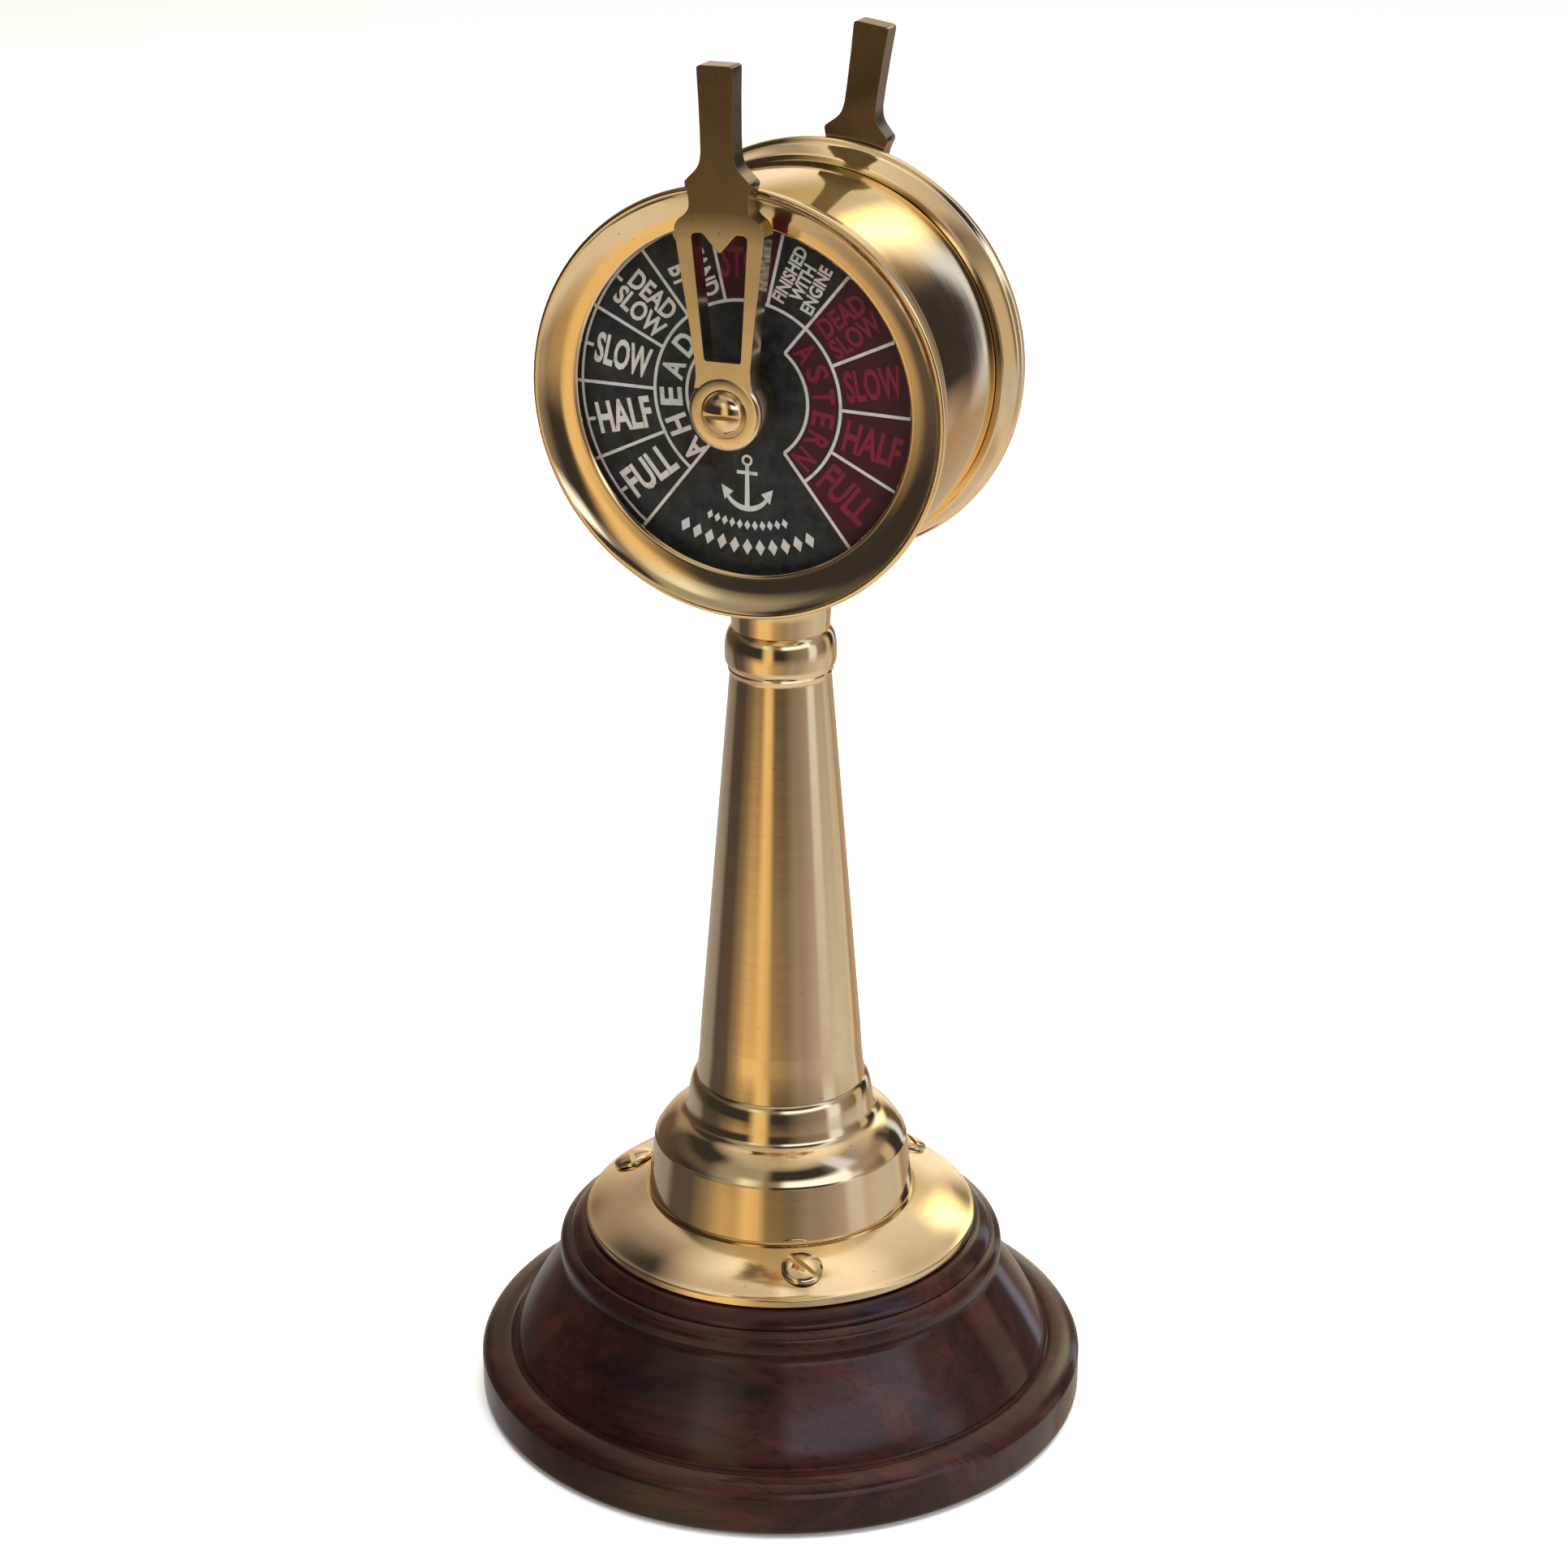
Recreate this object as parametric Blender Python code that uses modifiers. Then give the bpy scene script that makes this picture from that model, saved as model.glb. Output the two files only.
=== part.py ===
"""Desk model of a ship's engine telegraph: turned wood base, brass column and a two-faced drum head.

The head carries one dial and one swinging lever on each face. Sizes are in millimetres here and are
turned into metres by the helpers. Z is up, the front dial faces -Y, and the table is at Z = 0.
"""
import math

import bmesh
import bpy
from mathutils import Matrix, Vector

MM = 0.001
GAP = 0.3

# ---- overall sizes
BASE_RADIUS = 50.8
BASE_TOP = 31.3
FOOT_RADIUS = 22.1
PLATE_RADIUS = FOOT_RADIUS + 10.5
PLATE_THICK = 1.3
PLATE_RISE = 4.1
FOOT_TOP = 58.1
FOOT_BEAD_RADIUS = 15.6
FOOT_EDGE = 46.4
HEAD_AXIS = 176.9
COLLAR_TOP = HEAD_AXIS - 40.7
COLLAR_RADIUS = 8.92
COLUMN_TOP = COLLAR_TOP - 6.4
COLUMN_FOOT_RADIUS = 13.9
COLUMN_TAPER_RADIUS = 13.2
COLUMN_NECK_RADIUS = 8.15
HEAD_HALF = 18.0
RIM_RADIUS = 33.6
BARREL_RADIUS = 31.3
DIAL_OPENING = 27.2
LEVER_REACH = 51.8
LEVER_TURN_FRONT = -1.3
LEVER_TURN_REAR = 8.0

# ---- felt, tie rod and its fixings
FELT_RADIUS = 44.0
FELT_THICK = 1.2
WOOD_UNDERSIDE = 0.6
ROD_RADIUS = 2.0
ROD_BORE = ROD_RADIUS + 0.4
ROD_BOTTOM = 2.4
ROD_TOP = COLLAR_TOP + 4.8
NUT_ACROSS_FLATS = 7.0
NUT_THICK = 3.2
WASHER_RADIUS = 5.5
WASHER_THICK = 0.8
POCKET_RADIUS = 7.5
POCKET_TOP = 8.0

# ---- screws in the base plate
SCREW_CIRCLE = FOOT_RADIUS + 5.05
SCREW_ANGLES = (30.0, 150.0, 270.0)
SCREW_HEAD_RADIUS = 3.5
SCREW_HEAD_HEIGHT = 1.8
SCREW_SHANK_RADIUS = 1.6
SCREW_LENGTH = 9.0
SLOT_WIDTH = 0.8
SLOT_DEPTH = 0.8

# ---- inside the head
BARREL_BORE = 28.6
BARREL_HALF = 13.0
REBATE_RADIUS = 29.4
REBATE_START = 10.8
SPIGOT_RADIUS = 30.2
SPIGOT_START = 11.6
DISC_RADIUS = REBATE_RADIUS - 0.4
BEARING_THICK = 1.3
DIAL_THICK = 0.45
LIP_BACK = 15.1
SEAT_BORE = DISC_RADIUS - 0.8
DIAL_FACE = 13.15
SPINDLE_CORE = 5.0
SPINDLE_RADIUS = 3.2
JOURNAL_RADIUS = 2.2
SPACER_RADIUS = 5.0
TAP_RADIUS = 1.45
TAP_DEPTH = 6.0

# ---- levers
LEVER_BACK = 18.45
LEVER_THICK = 3.3
GRIP_THICK = 3.6
HUB_RADIUS = 5.9
HUB_THICK = 3.6
HUB_BORE = JOURNAL_RADIUS + GAP
CAP_HEAD_RADIUS = 3.2
CAP_HEAD_HEIGHT = 1.7
CAP_SHANK_RADIUS = 1.15
CAP_SHANK = 5.0

# ---- saddle screws
SADDLE_SCREW_X = 5.4
SADDLE_SCREW_HEAD = 2.4
SADDLE_SCREW_SHANK = 1.3
SADDLE_SCREW_DEPTH = 5.2

BRASS = ("polished_brass", (0.76, 0.54, 0.24, 1.0), 1.0, 0.18)
BRONZE = ("dark_brass", (0.33, 0.24, 0.13, 1.0), 1.0, 0.35)
STEEL = ("plated_steel", (0.55, 0.55, 0.56, 1.0), 1.0, 0.3)
WOOD = ("dark_wood", (0.10, 0.035, 0.025, 1.0), 0.0, 0.2)
FELT = ("green_felt", (0.03, 0.10, 0.06, 1.0), 0.0, 0.95)
DIAL = ("black_dial", (0.015, 0.015, 0.017, 1.0), 0.0, 0.35)


def clear_scene():
    for item in list(bpy.data.objects):
        bpy.data.objects.remove(item, do_unlink=True)


def new_collection(name):
    group = bpy.data.collections.new(name)
    bpy.context.scene.collection.children.link(group)
    return group


def material_for(spec):
    name, colour, metallic, roughness = spec
    found = bpy.data.materials.get(name)
    if found:
        return found
    made = bpy.data.materials.new(name)
    made.use_nodes = True
    shader = made.node_tree.nodes["Principled BSDF"]
    shader.inputs["Base Color"].default_value = colour
    shader.inputs["Metallic"].default_value = metallic
    shader.inputs["Roughness"].default_value = roughness
    return made


def add_object(name, mesh, spec, group):
    item = bpy.data.objects.new(name, mesh)
    group.objects.link(item)
    if spec:
        mesh.materials.append(material_for(spec))
    return item


def facing(side):
    """Turn that carries local +Z to -Y on the front face (side = 1) or to +Y on the rear one (-1).

    Local +Y points up on both faces.
    """
    return (math.radians(90.0), 0.0, math.radians(90.0 - 90.0 * side))


def turned(name, profile, steps, spec, group, closed=True):
    """Solid of revolution about local Z from (radius, height) pairs in millimetres."""
    mesh = bpy.data.meshes.new(name)
    points = [(radius * MM, 0.0, height * MM) for radius, height in profile]
    edges = [(index, index + 1) for index in range(len(points) - 1)]
    if closed:
        edges.append((len(points) - 1, 0))
    mesh.from_pydata(points, edges, [])
    item = add_object(name, mesh, spec, group)
    screw = item.modifiers.new("turn", "SCREW")
    screw.axis = "Z"
    screw.steps = steps
    screw.render_steps = steps
    screw.use_merge_vertices = True
    screw.merge_threshold = 0.00001
    return item


def cut(item, cutter):
    hole = item.modifiers.new("cut", "BOOLEAN")
    hole.operation = "DIFFERENCE"
    hole.solver = "EXACT"
    hole.object = cutter


def join(item, extra):
    added = item.modifiers.new("join", "BOOLEAN")
    added.operation = "UNION"
    added.solver = "EXACT"
    added.object = extra


def rod_tool(name, radius, low, high, group, steps=24):
    """Plain cylinder along local Z between two heights."""
    mesh = bpy.data.meshes.new(name)
    shape = bmesh.new()
    place = Matrix.Translation(Vector((0.0, 0.0, (low + high) / 2.0 * MM)))
    bmesh.ops.create_cone(shape, cap_ends=True, segments=steps, radius1=radius * MM,
                          radius2=radius * MM, depth=(high - low) * MM, matrix=place)
    shape.to_mesh(mesh)
    shape.free()
    return add_object(name, mesh, None, group)


def box_tool(name, size, centre, group):
    """Plain box with its sides along the local axes."""
    mesh = bpy.data.meshes.new(name)
    shape = bmesh.new()
    place = Matrix.Translation(Vector(centre) * MM)
    place = place @ Matrix.Diagonal(Vector((size[0] * MM, size[1] * MM, size[2] * MM, 1.0)))
    bmesh.ops.create_cube(shape, size=1.0, matrix=place)
    shape.to_mesh(mesh)
    shape.free()
    return add_object(name, mesh, None, group)


def plate_shape(name, loops, back, thick, spec, group):
    """Flat piece in the local XY plane cut to closed outlines, standing from back to back + thick."""
    curve = bpy.data.curves.new(name + "_outline", "CURVE")
    curve.dimensions = "2D"
    curve.fill_mode = "BOTH"
    curve.extrude = thick / 2.0 * MM
    for loop in loops:
        line = curve.splines.new("POLY")
        line.points.add(len(loop) - 1)
        line.use_cyclic_u = True
        for point, (across, along) in zip(line.points, loop):
            point.co = (across * MM, along * MM, 0.0, 1.0)
    drawn = bpy.data.objects.new(name + "_outline", curve)
    group.objects.link(drawn)
    bpy.context.view_layer.update()
    mesh = bpy.data.meshes.new_from_object(drawn.evaluated_get(bpy.context.evaluated_depsgraph_get()))
    mesh.materials.clear()
    bpy.data.objects.remove(drawn, do_unlink=True)
    shape = bmesh.new()
    shape.from_mesh(mesh)
    bmesh.ops.remove_doubles(shape, verts=shape.verts, dist=0.000001)
    bmesh.ops.translate(shape, verts=shape.verts, vec=(0.0, 0.0, (back + thick / 2.0) * MM))
    bmesh.ops.recalc_face_normals(shape, faces=shape.faces)
    shape.to_mesh(mesh)
    shape.free()
    mesh.name = name
    return add_object(name, mesh, spec, group)


def domed_head(radius, height, base, shank_radius, shank_end):
    """Half profile of a round-headed screw, from the crown down to the point."""
    crown = [(0.0, base + height)]
    for step in range(1, 5):
        angle = math.radians(step * 90.0 / 4.0)
        crown.append((radius * math.sin(angle), base + height * (0.25 + 0.75 * math.cos(angle))))
    return crown + [(radius, base), (shank_radius, base), (shank_radius, shank_end + 1.0), (0.0, shank_end)]


def slotted_screw(name, head_radius, head_height, base, shank_radius, shank_end, spec, parts, tools):
    screw = turned(name, domed_head(head_radius, head_height, base, shank_radius, shank_end),
                   20, spec, parts, closed=False)
    slot_height = 4.0
    slot = box_tool(name + "_slot", (2.6 * head_radius, SLOT_WIDTH, slot_height),
                    (0.0, 0.0, base + head_height - SLOT_DEPTH + slot_height / 2.0), tools)
    slot.parent = screw
    cut(screw, slot)
    return screw


def on_head(item, side):
    """Lay a piece made about local Z onto the head's axis, facing the given side."""
    item.location = (0.0, 0.0, HEAD_AXIS * MM)
    item.rotation_euler = facing(side)


def wood_profile():
    outer = [(33.2, BASE_TOP), (34.2, 30.4), (35.0, 29.5), (35.4, 29.0), (36.2, 28.6), (36.9, 27.9),
             (37.2, 26.9), (37.15, 25.6), (36.7, 24.6), (36.9, 23.6), (38.9, 20.6), (41.7, 16.3),
             (44.0, 12.3), (45.0, 10.2), (45.4, 9.4), (46.4, 9.6), (49.5, 8.7), (50.5, 7.9), (BASE_RADIUS, 7.0),
             (BASE_RADIUS, 1.3), (50.2, WOOD_UNDERSIDE)]
    recess = FELT_RADIUS + 0.5
    inner = [(recess, WOOD_UNDERSIDE), (recess, FELT_THICK + GAP), (POCKET_RADIUS, FELT_THICK + GAP),
             (POCKET_RADIUS, POCKET_TOP), (ROD_BORE, POCKET_TOP), (ROD_BORE, BASE_TOP)]
    return outer + inner


def build_base(parts, tools):
    turned("felt_pad", [(0.0, FELT_THICK), (FELT_RADIUS, FELT_THICK), (FELT_RADIUS, 0.0), (0.0, 0.0)],
           48, FELT, parts, closed=False)
    wood = turned("wood_base", wood_profile(), 48, WOOD, parts)

    plate_low = BASE_TOP + GAP
    plate_top = plate_low + PLATE_THICK + PLATE_RISE
    slope_in = (SCREW_CIRCLE - 1.75, plate_top - 0.2 * PLATE_RISE)
    slope_out = (SCREW_CIRCLE + 1.75, plate_top - 0.52 * PLATE_RISE)
    plate = turned("base_plate",
                   [(ROD_BORE, plate_top), (FOOT_RADIUS + 0.3, plate_top), slope_in, slope_out,
                    (PLATE_RADIUS - 0.4, plate_low + PLATE_THICK + 0.4), (PLATE_RADIUS, plate_low + PLATE_THICK),
                    (PLATE_RADIUS, plate_low), (ROD_BORE, plate_low)], 48, BRASS, parts)

    lean = math.atan2(slope_in[1] - slope_out[1], slope_out[0] - slope_in[0])
    for number, degrees in enumerate(SCREW_ANGLES, 1):
        place = (Matrix.Rotation(math.radians(degrees - 90.0), 4, "Z")
                 @ Matrix.Translation(Vector((SCREW_CIRCLE, 0.0, (slope_in[1] + slope_out[1]) / 2.0)) * MM)
                 @ Matrix.Rotation(lean, 4, "Y"))
        hole = rod_tool("screw_hole_%d" % number, SCREW_SHANK_RADIUS + GAP, GAP - SCREW_LENGTH - 1.0, 1.5,
                        tools, 16)
        hole.location = place.translation
        hole.rotation_euler = place.to_euler()
        cut(wood, hole)
        cut(plate, hole)
        screw = slotted_screw("plate_screw_%d" % number, SCREW_HEAD_RADIUS, SCREW_HEAD_HEIGHT, GAP,
                              SCREW_SHANK_RADIUS, GAP - SCREW_LENGTH, BRASS, parts, tools)
        screw.location = place.translation
        screw.rotation_euler = (place @ Matrix.Rotation(math.radians(40.0 * number), 4, "Z")).to_euler()
    return plate_top


def build_pedestal(parts, plate_top):
    foot_low = plate_top + GAP
    waist = FOOT_RADIUS - 1.0
    turned("pedestal_foot",
           [(ROD_BORE, FOOT_TOP), (FOOT_BEAD_RADIUS - 1.4, FOOT_TOP), (FOOT_BEAD_RADIUS - 0.7, FOOT_TOP - 0.6),
            (FOOT_BEAD_RADIUS - 0.3, FOOT_TOP - 1.5), (FOOT_BEAD_RADIUS, FOOT_TOP - 4.7),
            (FOOT_BEAD_RADIUS, FOOT_EDGE + 5.5), (FOOT_BEAD_RADIUS + 0.3, FOOT_EDGE + 4.9),
            (waist - 4.2, FOOT_EDGE + 4.5), (waist - 2.9, FOOT_EDGE + 3.7), (waist - 1.8, FOOT_EDGE + 2.6),
            (waist - 0.9, FOOT_EDGE + 1.5), (waist - 0.35, FOOT_EDGE + 0.6), (waist, FOOT_EDGE - 0.4),
            (FOOT_RADIUS, foot_low + 0.7), (FOOT_RADIUS - 0.4, foot_low), (ROD_BORE, foot_low)],
           48, BRASS, parts)

    column_low = FOOT_TOP + GAP
    turned("column",
           [(ROD_BORE, COLUMN_TOP), (COLUMN_NECK_RADIUS + 0.2, COLUMN_TOP),
            (COLUMN_NECK_RADIUS + 0.3, COLUMN_TOP - 0.5), (COLUMN_NECK_RADIUS, COLUMN_TOP - 1.2),
            (COLUMN_TAPER_RADIUS, column_low + 7.6), (COLUMN_TAPER_RADIUS + 0.2, column_low + 4.6),
            (COLUMN_FOOT_RADIUS - 0.3, column_low + 2.6), (COLUMN_FOOT_RADIUS, column_low),
            (ROD_BORE, column_low)], 40, BRASS, parts)

    collar_low = COLUMN_TOP + GAP
    turned("neck_collar",
           [(ROD_BORE, COLLAR_TOP), (COLLAR_RADIUS - 1.1, COLLAR_TOP), (COLLAR_RADIUS - 0.7, COLLAR_TOP - 0.3),
            (COLLAR_RADIUS - 0.35, COLLAR_TOP - 1.0), (COLLAR_RADIUS - 0.1, COLLAR_TOP - 2.0),
            (COLLAR_RADIUS, COLLAR_TOP - 3.2), (COLLAR_RADIUS, collar_low + 1.5),
            (COLLAR_RADIUS - 0.15, collar_low + 0.6), (COLLAR_RADIUS - 0.5, collar_low),
            (ROD_BORE, collar_low)], 36, BRASS, parts)

    turned("tie_rod", [(0.0, ROD_TOP), (ROD_RADIUS, ROD_TOP), (ROD_RADIUS, ROD_BOTTOM), (0.0, ROD_BOTTOM)],
           20, STEEL, parts, closed=False)
    washer_top = POCKET_TOP - GAP
    washer_low = washer_top - WASHER_THICK
    turned("rod_washer", [(ROD_BORE, washer_top), (WASHER_RADIUS, washer_top),
                          (WASHER_RADIUS, washer_low), (ROD_BORE, washer_low)], 28, STEEL, parts)
    nut_top = washer_low - GAP
    corner = NUT_ACROSS_FLATS / math.sqrt(3.0)
    flats = [(corner * math.cos(math.radians(60.0 * step)), corner * math.sin(math.radians(60.0 * step)))
             for step in range(6)]
    bore = [(ROD_BORE * math.cos(math.radians(18.0 * step)), ROD_BORE * math.sin(math.radians(18.0 * step)))
            for step in range(20)]
    plate_shape("rod_nut", [flats, bore], nut_top - NUT_THICK, NUT_THICK, STEEL, parts)


def build_saddle(parts, tools):
    """Flared neck that carries the barrel, hollowed on top to the barrel's own curve."""
    saddle_low = COLLAR_TOP + GAP
    saddle = turned("head_saddle",
                    [(0.0, saddle_low + 13.0), (10.8, saddle_low + 13.0), (10.4, saddle_low + 10.5),
                     (9.0, saddle_low + 6.7), (8.15, saddle_low + 3.7), (7.95, saddle_low + 1.5),
                     (8.0, saddle_low), (ROD_BORE, saddle_low),
                     (ROD_BORE, ROD_TOP + GAP), (0.0, ROD_TOP + GAP)], 36, BRASS, parts, closed=False)
    seat = rod_tool("barrel_seat", BARREL_RADIUS + GAP, -20.0, 20.0, tools, 64)
    on_head(seat, 1)
    cut(saddle, seat)
    return saddle


def build_saddle_screws(parts, tools, saddle, barrel):
    head_low = HEAD_AXIS - BARREL_BORE + 1.4
    shank_end = HEAD_AXIS - BARREL_RADIUS - SADDLE_SCREW_DEPTH
    for number, across in enumerate((-SADDLE_SCREW_X, SADDLE_SCREW_X), 1):
        hole = rod_tool("saddle_hole_%d" % number, SADDLE_SCREW_SHANK + GAP,
                        shank_end - 0.6, head_low + 3.0, tools, 16)
        hole.location = (across * MM, 0.0, 0.0)
        cut(saddle, hole)
        cut(barrel, hole)
        screw = slotted_screw("saddle_screw_%d" % number, SADDLE_SCREW_HEAD, 1.2, head_low,
                              SADDLE_SCREW_SHANK, shank_end, STEEL, parts, tools)
        screw.location = (across * MM, 0.0, 0.0)


def build_barrel(parts):
    half = [(REBATE_RADIUS, BARREL_HALF), (SPIGOT_RADIUS, BARREL_HALF), (SPIGOT_RADIUS, SPIGOT_START),
            (BARREL_RADIUS, SPIGOT_START)]
    inner = [(BARREL_BORE, REBATE_START), (REBATE_RADIUS, REBATE_START)]
    profile = half + [(radius, -along) for radius, along in reversed(half)]
    profile += [(radius, -along) for radius, along in reversed(inner)] + inner
    barrel = turned("drum_barrel", profile, 64, BRASS, parts)
    on_head(barrel, 1)
    return barrel


def build_face(word, side, parts, tools, turn):
    """Bezel, dial, bearing plate, spacer, lever and screw for one face of the head."""
    seat = DIAL_FACE + GAP
    skirt_in = SPIGOT_RADIUS + GAP
    skirt_end = SPIGOT_START + GAP
    bezel = turned(word + "_bezel",
                   [(DIAL_OPENING, 15.6), (28.0, 15.9), (30.6, 16.5), (32.0, 17.2), (32.7, HEAD_HALF),
                    (33.3, HEAD_HALF), (RIM_RADIUS, 17.6), (RIM_RADIUS, 16.9), (32.8, 16.1),
                    (32.1, 14.4), (31.9, 13.0), (31.8, skirt_end), (skirt_in, skirt_end), (skirt_in, seat),
                    (SEAT_BORE, seat), (SEAT_BORE, LIP_BACK), (DIAL_OPENING, LIP_BACK)], 64, BRASS, parts)
    on_head(bezel, side)

    dial = turned(word + "_dial",
                  [(SPINDLE_RADIUS + GAP, DIAL_FACE), (DISC_RADIUS, DIAL_FACE),
                   (DISC_RADIUS, DIAL_FACE - DIAL_THICK), (SPINDLE_RADIUS + GAP, DIAL_FACE - DIAL_THICK)],
                  48, DIAL, parts)
    on_head(dial, side)

    plate_top = DIAL_FACE - DIAL_THICK - GAP
    plate_low = plate_top - BEARING_THICK
    bearing = turned(word + "_bearing_plate",
                     [(SPINDLE_RADIUS + GAP, plate_top), (DISC_RADIUS, plate_top), (DISC_RADIUS, plate_low),
                      (SPINDLE_RADIUS + GAP, plate_low)], 48, BRONZE, parts)
    on_head(bearing, side)

    spacer_top = LEVER_BACK - GAP
    spacer = turned(word + "_hub_spacer",
                    [(SPINDLE_RADIUS + GAP, spacer_top), (SPACER_RADIUS - 0.4, spacer_top),
                     (SPACER_RADIUS, spacer_top - 0.4), (SPACER_RADIUS, seat),
                     (SPINDLE_RADIUS + GAP, seat)], 24, BRASS, parts)
    on_head(spacer, side)

    lever = build_lever(word, parts, tools)
    on_head(lever, side)
    lean = Matrix.Rotation(math.radians(turn), 4, "Y")
    lever.rotation_euler = (lean @ lever.rotation_euler.to_matrix().to_4x4()).to_euler()

    screw = slotted_screw(word + "_lever_screw", CAP_HEAD_RADIUS, CAP_HEAD_HEIGHT,
                          LEVER_BACK + HUB_THICK + GAP, CAP_SHANK_RADIUS,
                          LEVER_BACK + HUB_THICK + GAP - CAP_SHANK - 1.6, BRASS, parts, tools)
    on_head(screw, side)


def lever_outline():
    """Right half of the lever's outer edge, from the hub up to the tip."""
    return [(4.6, 8.0), (5.3, 14.0), (6.9, 26.0), (7.15, 27.4), (6.8, 28.7), (5.7, 29.8), (4.8, 30.8),
            (4.9, 32.6), (5.2, 34.3), (4.8, 35.4), (3.4, 36.7), (2.6, 38.2), (2.6, 44.0),
            (2.8, LEVER_REACH - 0.5), (2.3, LEVER_REACH)]


def mirrored(half):
    return half + [(-across, along) for across, along in reversed(half)]


def build_lever(word, parts, tools):
    """One casting: hub, two arms round an open window, pointer, shoulders and a flat grip."""
    frame = mirrored([(4.3, 3.5)] + lever_outline())
    window = [(-2.9, 7.4), (2.9, 7.4), (4.5, 27.2), (2.5, 27.2), (0.0, 24.3), (-2.5, 27.2), (-4.5, 27.2)]
    lever = plate_shape(word + "_lever", [frame, window], LEVER_BACK, LEVER_THICK, BRONZE, parts)
    grip_half = [(4.0, 30.9)] + [point for point in lever_outline() if point[1] > 32.0]
    grip = plate_shape(word + "_grip", [mirrored(grip_half)], LEVER_BACK - 0.05, GRIP_THICK, None, tools)
    hub = rod_tool(word + "_hub", HUB_RADIUS, LEVER_BACK - 0.03, LEVER_BACK + HUB_THICK, tools, 28)
    bore = rod_tool(word + "_hub_bore", HUB_BORE, LEVER_BACK - 3.0, LEVER_BACK + HUB_THICK + 3.0, tools, 20)
    for tool in (grip, hub, bore):
        tool.parent = lever
    join(lever, grip)
    join(lever, hub)
    cut(lever, bore)
    return lever


def build_spindle(parts):
    """Fixed cross spindle through both bearing plates, tapped at each end for a lever screw."""
    core = DIAL_FACE - DIAL_THICK - GAP - BEARING_THICK - GAP
    shoulder = LEVER_BACK - GAP
    tip = LEVER_BACK + HUB_THICK - GAP
    floor = tip - TAP_DEPTH
    half = [(0.0, floor), (TAP_RADIUS, floor), (TAP_RADIUS, tip), (JOURNAL_RADIUS, tip),
            (JOURNAL_RADIUS, shoulder), (SPINDLE_RADIUS, shoulder), (SPINDLE_RADIUS, core),
            (SPINDLE_CORE, core)]
    profile = half + [(radius, -along) for radius, along in reversed(half)]
    spindle = turned("cross_spindle", profile, 24, STEEL, parts, closed=False)
    on_head(spindle, 1)


def main():
    clear_scene()
    parts = new_collection("engine_telegraph")
    tools = new_collection("cutters")
    plate_top = build_base(parts, tools)
    build_pedestal(parts, plate_top)
    saddle = build_saddle(parts, tools)
    barrel = build_barrel(parts)
    build_saddle_screws(parts, tools, saddle, barrel)
    build_spindle(parts)
    build_face("front", 1, parts, tools, LEVER_TURN_FRONT)
    build_face("rear", -1, parts, tools, LEVER_TURN_REAR)
    for tool in tools.objects:
        tool.hide_render = True
        tool.display_type = "WIRE"


main()
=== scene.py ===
"""Desk model of a ship's engine telegraph: the visible pieces, their finishes and the studio.

Sizes below are millimetres. The base and column are turned about the Z axis, the head about an
axis along Y, and the front dial faces -Y.
"""

import math

import bmesh
import bpy
from bpy.props import FloatProperty, FloatVectorProperty, PointerProperty
from mathutils import Matrix, Vector


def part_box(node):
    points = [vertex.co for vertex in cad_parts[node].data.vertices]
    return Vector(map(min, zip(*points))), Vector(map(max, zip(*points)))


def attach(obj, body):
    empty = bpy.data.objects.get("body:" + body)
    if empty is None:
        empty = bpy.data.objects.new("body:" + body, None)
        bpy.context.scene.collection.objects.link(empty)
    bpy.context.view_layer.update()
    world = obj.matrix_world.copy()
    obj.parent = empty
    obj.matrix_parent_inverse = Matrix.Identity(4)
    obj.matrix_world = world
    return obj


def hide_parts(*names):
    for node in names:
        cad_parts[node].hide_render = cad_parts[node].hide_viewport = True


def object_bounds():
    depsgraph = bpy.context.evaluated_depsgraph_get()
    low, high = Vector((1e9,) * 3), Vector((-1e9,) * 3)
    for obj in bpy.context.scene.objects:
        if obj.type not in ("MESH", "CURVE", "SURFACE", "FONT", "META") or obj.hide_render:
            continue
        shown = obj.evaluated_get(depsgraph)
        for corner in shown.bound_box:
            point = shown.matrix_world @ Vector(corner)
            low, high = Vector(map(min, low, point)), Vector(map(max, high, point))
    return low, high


bl_info = {
    "name": "Engine telegraph",
    "version": (1, 0, 0),
    "blender": (4, 5, 0),
    "location": "3D View > Sidebar > Telegraph",
    "description": "Builds the visible pieces and finishes of a desk engine telegraph",
    "category": "Object",
}

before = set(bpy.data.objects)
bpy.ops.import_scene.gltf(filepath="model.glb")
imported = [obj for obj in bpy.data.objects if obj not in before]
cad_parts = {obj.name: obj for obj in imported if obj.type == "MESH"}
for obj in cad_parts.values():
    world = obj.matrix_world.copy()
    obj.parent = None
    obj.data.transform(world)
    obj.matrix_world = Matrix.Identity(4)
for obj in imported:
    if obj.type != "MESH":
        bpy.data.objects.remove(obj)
CAD_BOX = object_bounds()

MM = 0.001
STAND = "stand"


def box_mm(node):
    """Corners of a node's box in the CAD model, in millimetres."""
    low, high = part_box(node)
    return [value / MM for value in low], [value / MM for value in high]


PLATE_LOW, PLATE_HIGH = box_mm("base_plate")
WOOD_LOW, WOOD_HIGH = box_mm("wood_base")
FOOT_LOW, FOOT_HIGH = box_mm("pedestal_foot")
COLUMN_LOW, COLUMN_HIGH = box_mm("column")
COLLAR_LOW, COLLAR_HIGH = box_mm("neck_collar")
SADDLE_LOW = box_mm("head_saddle")[0]
BEZEL_LOW, BEZEL_HIGH = box_mm("front_bezel")
BARREL_LOW, BARREL_HIGH = box_mm("drum_barrel")

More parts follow.
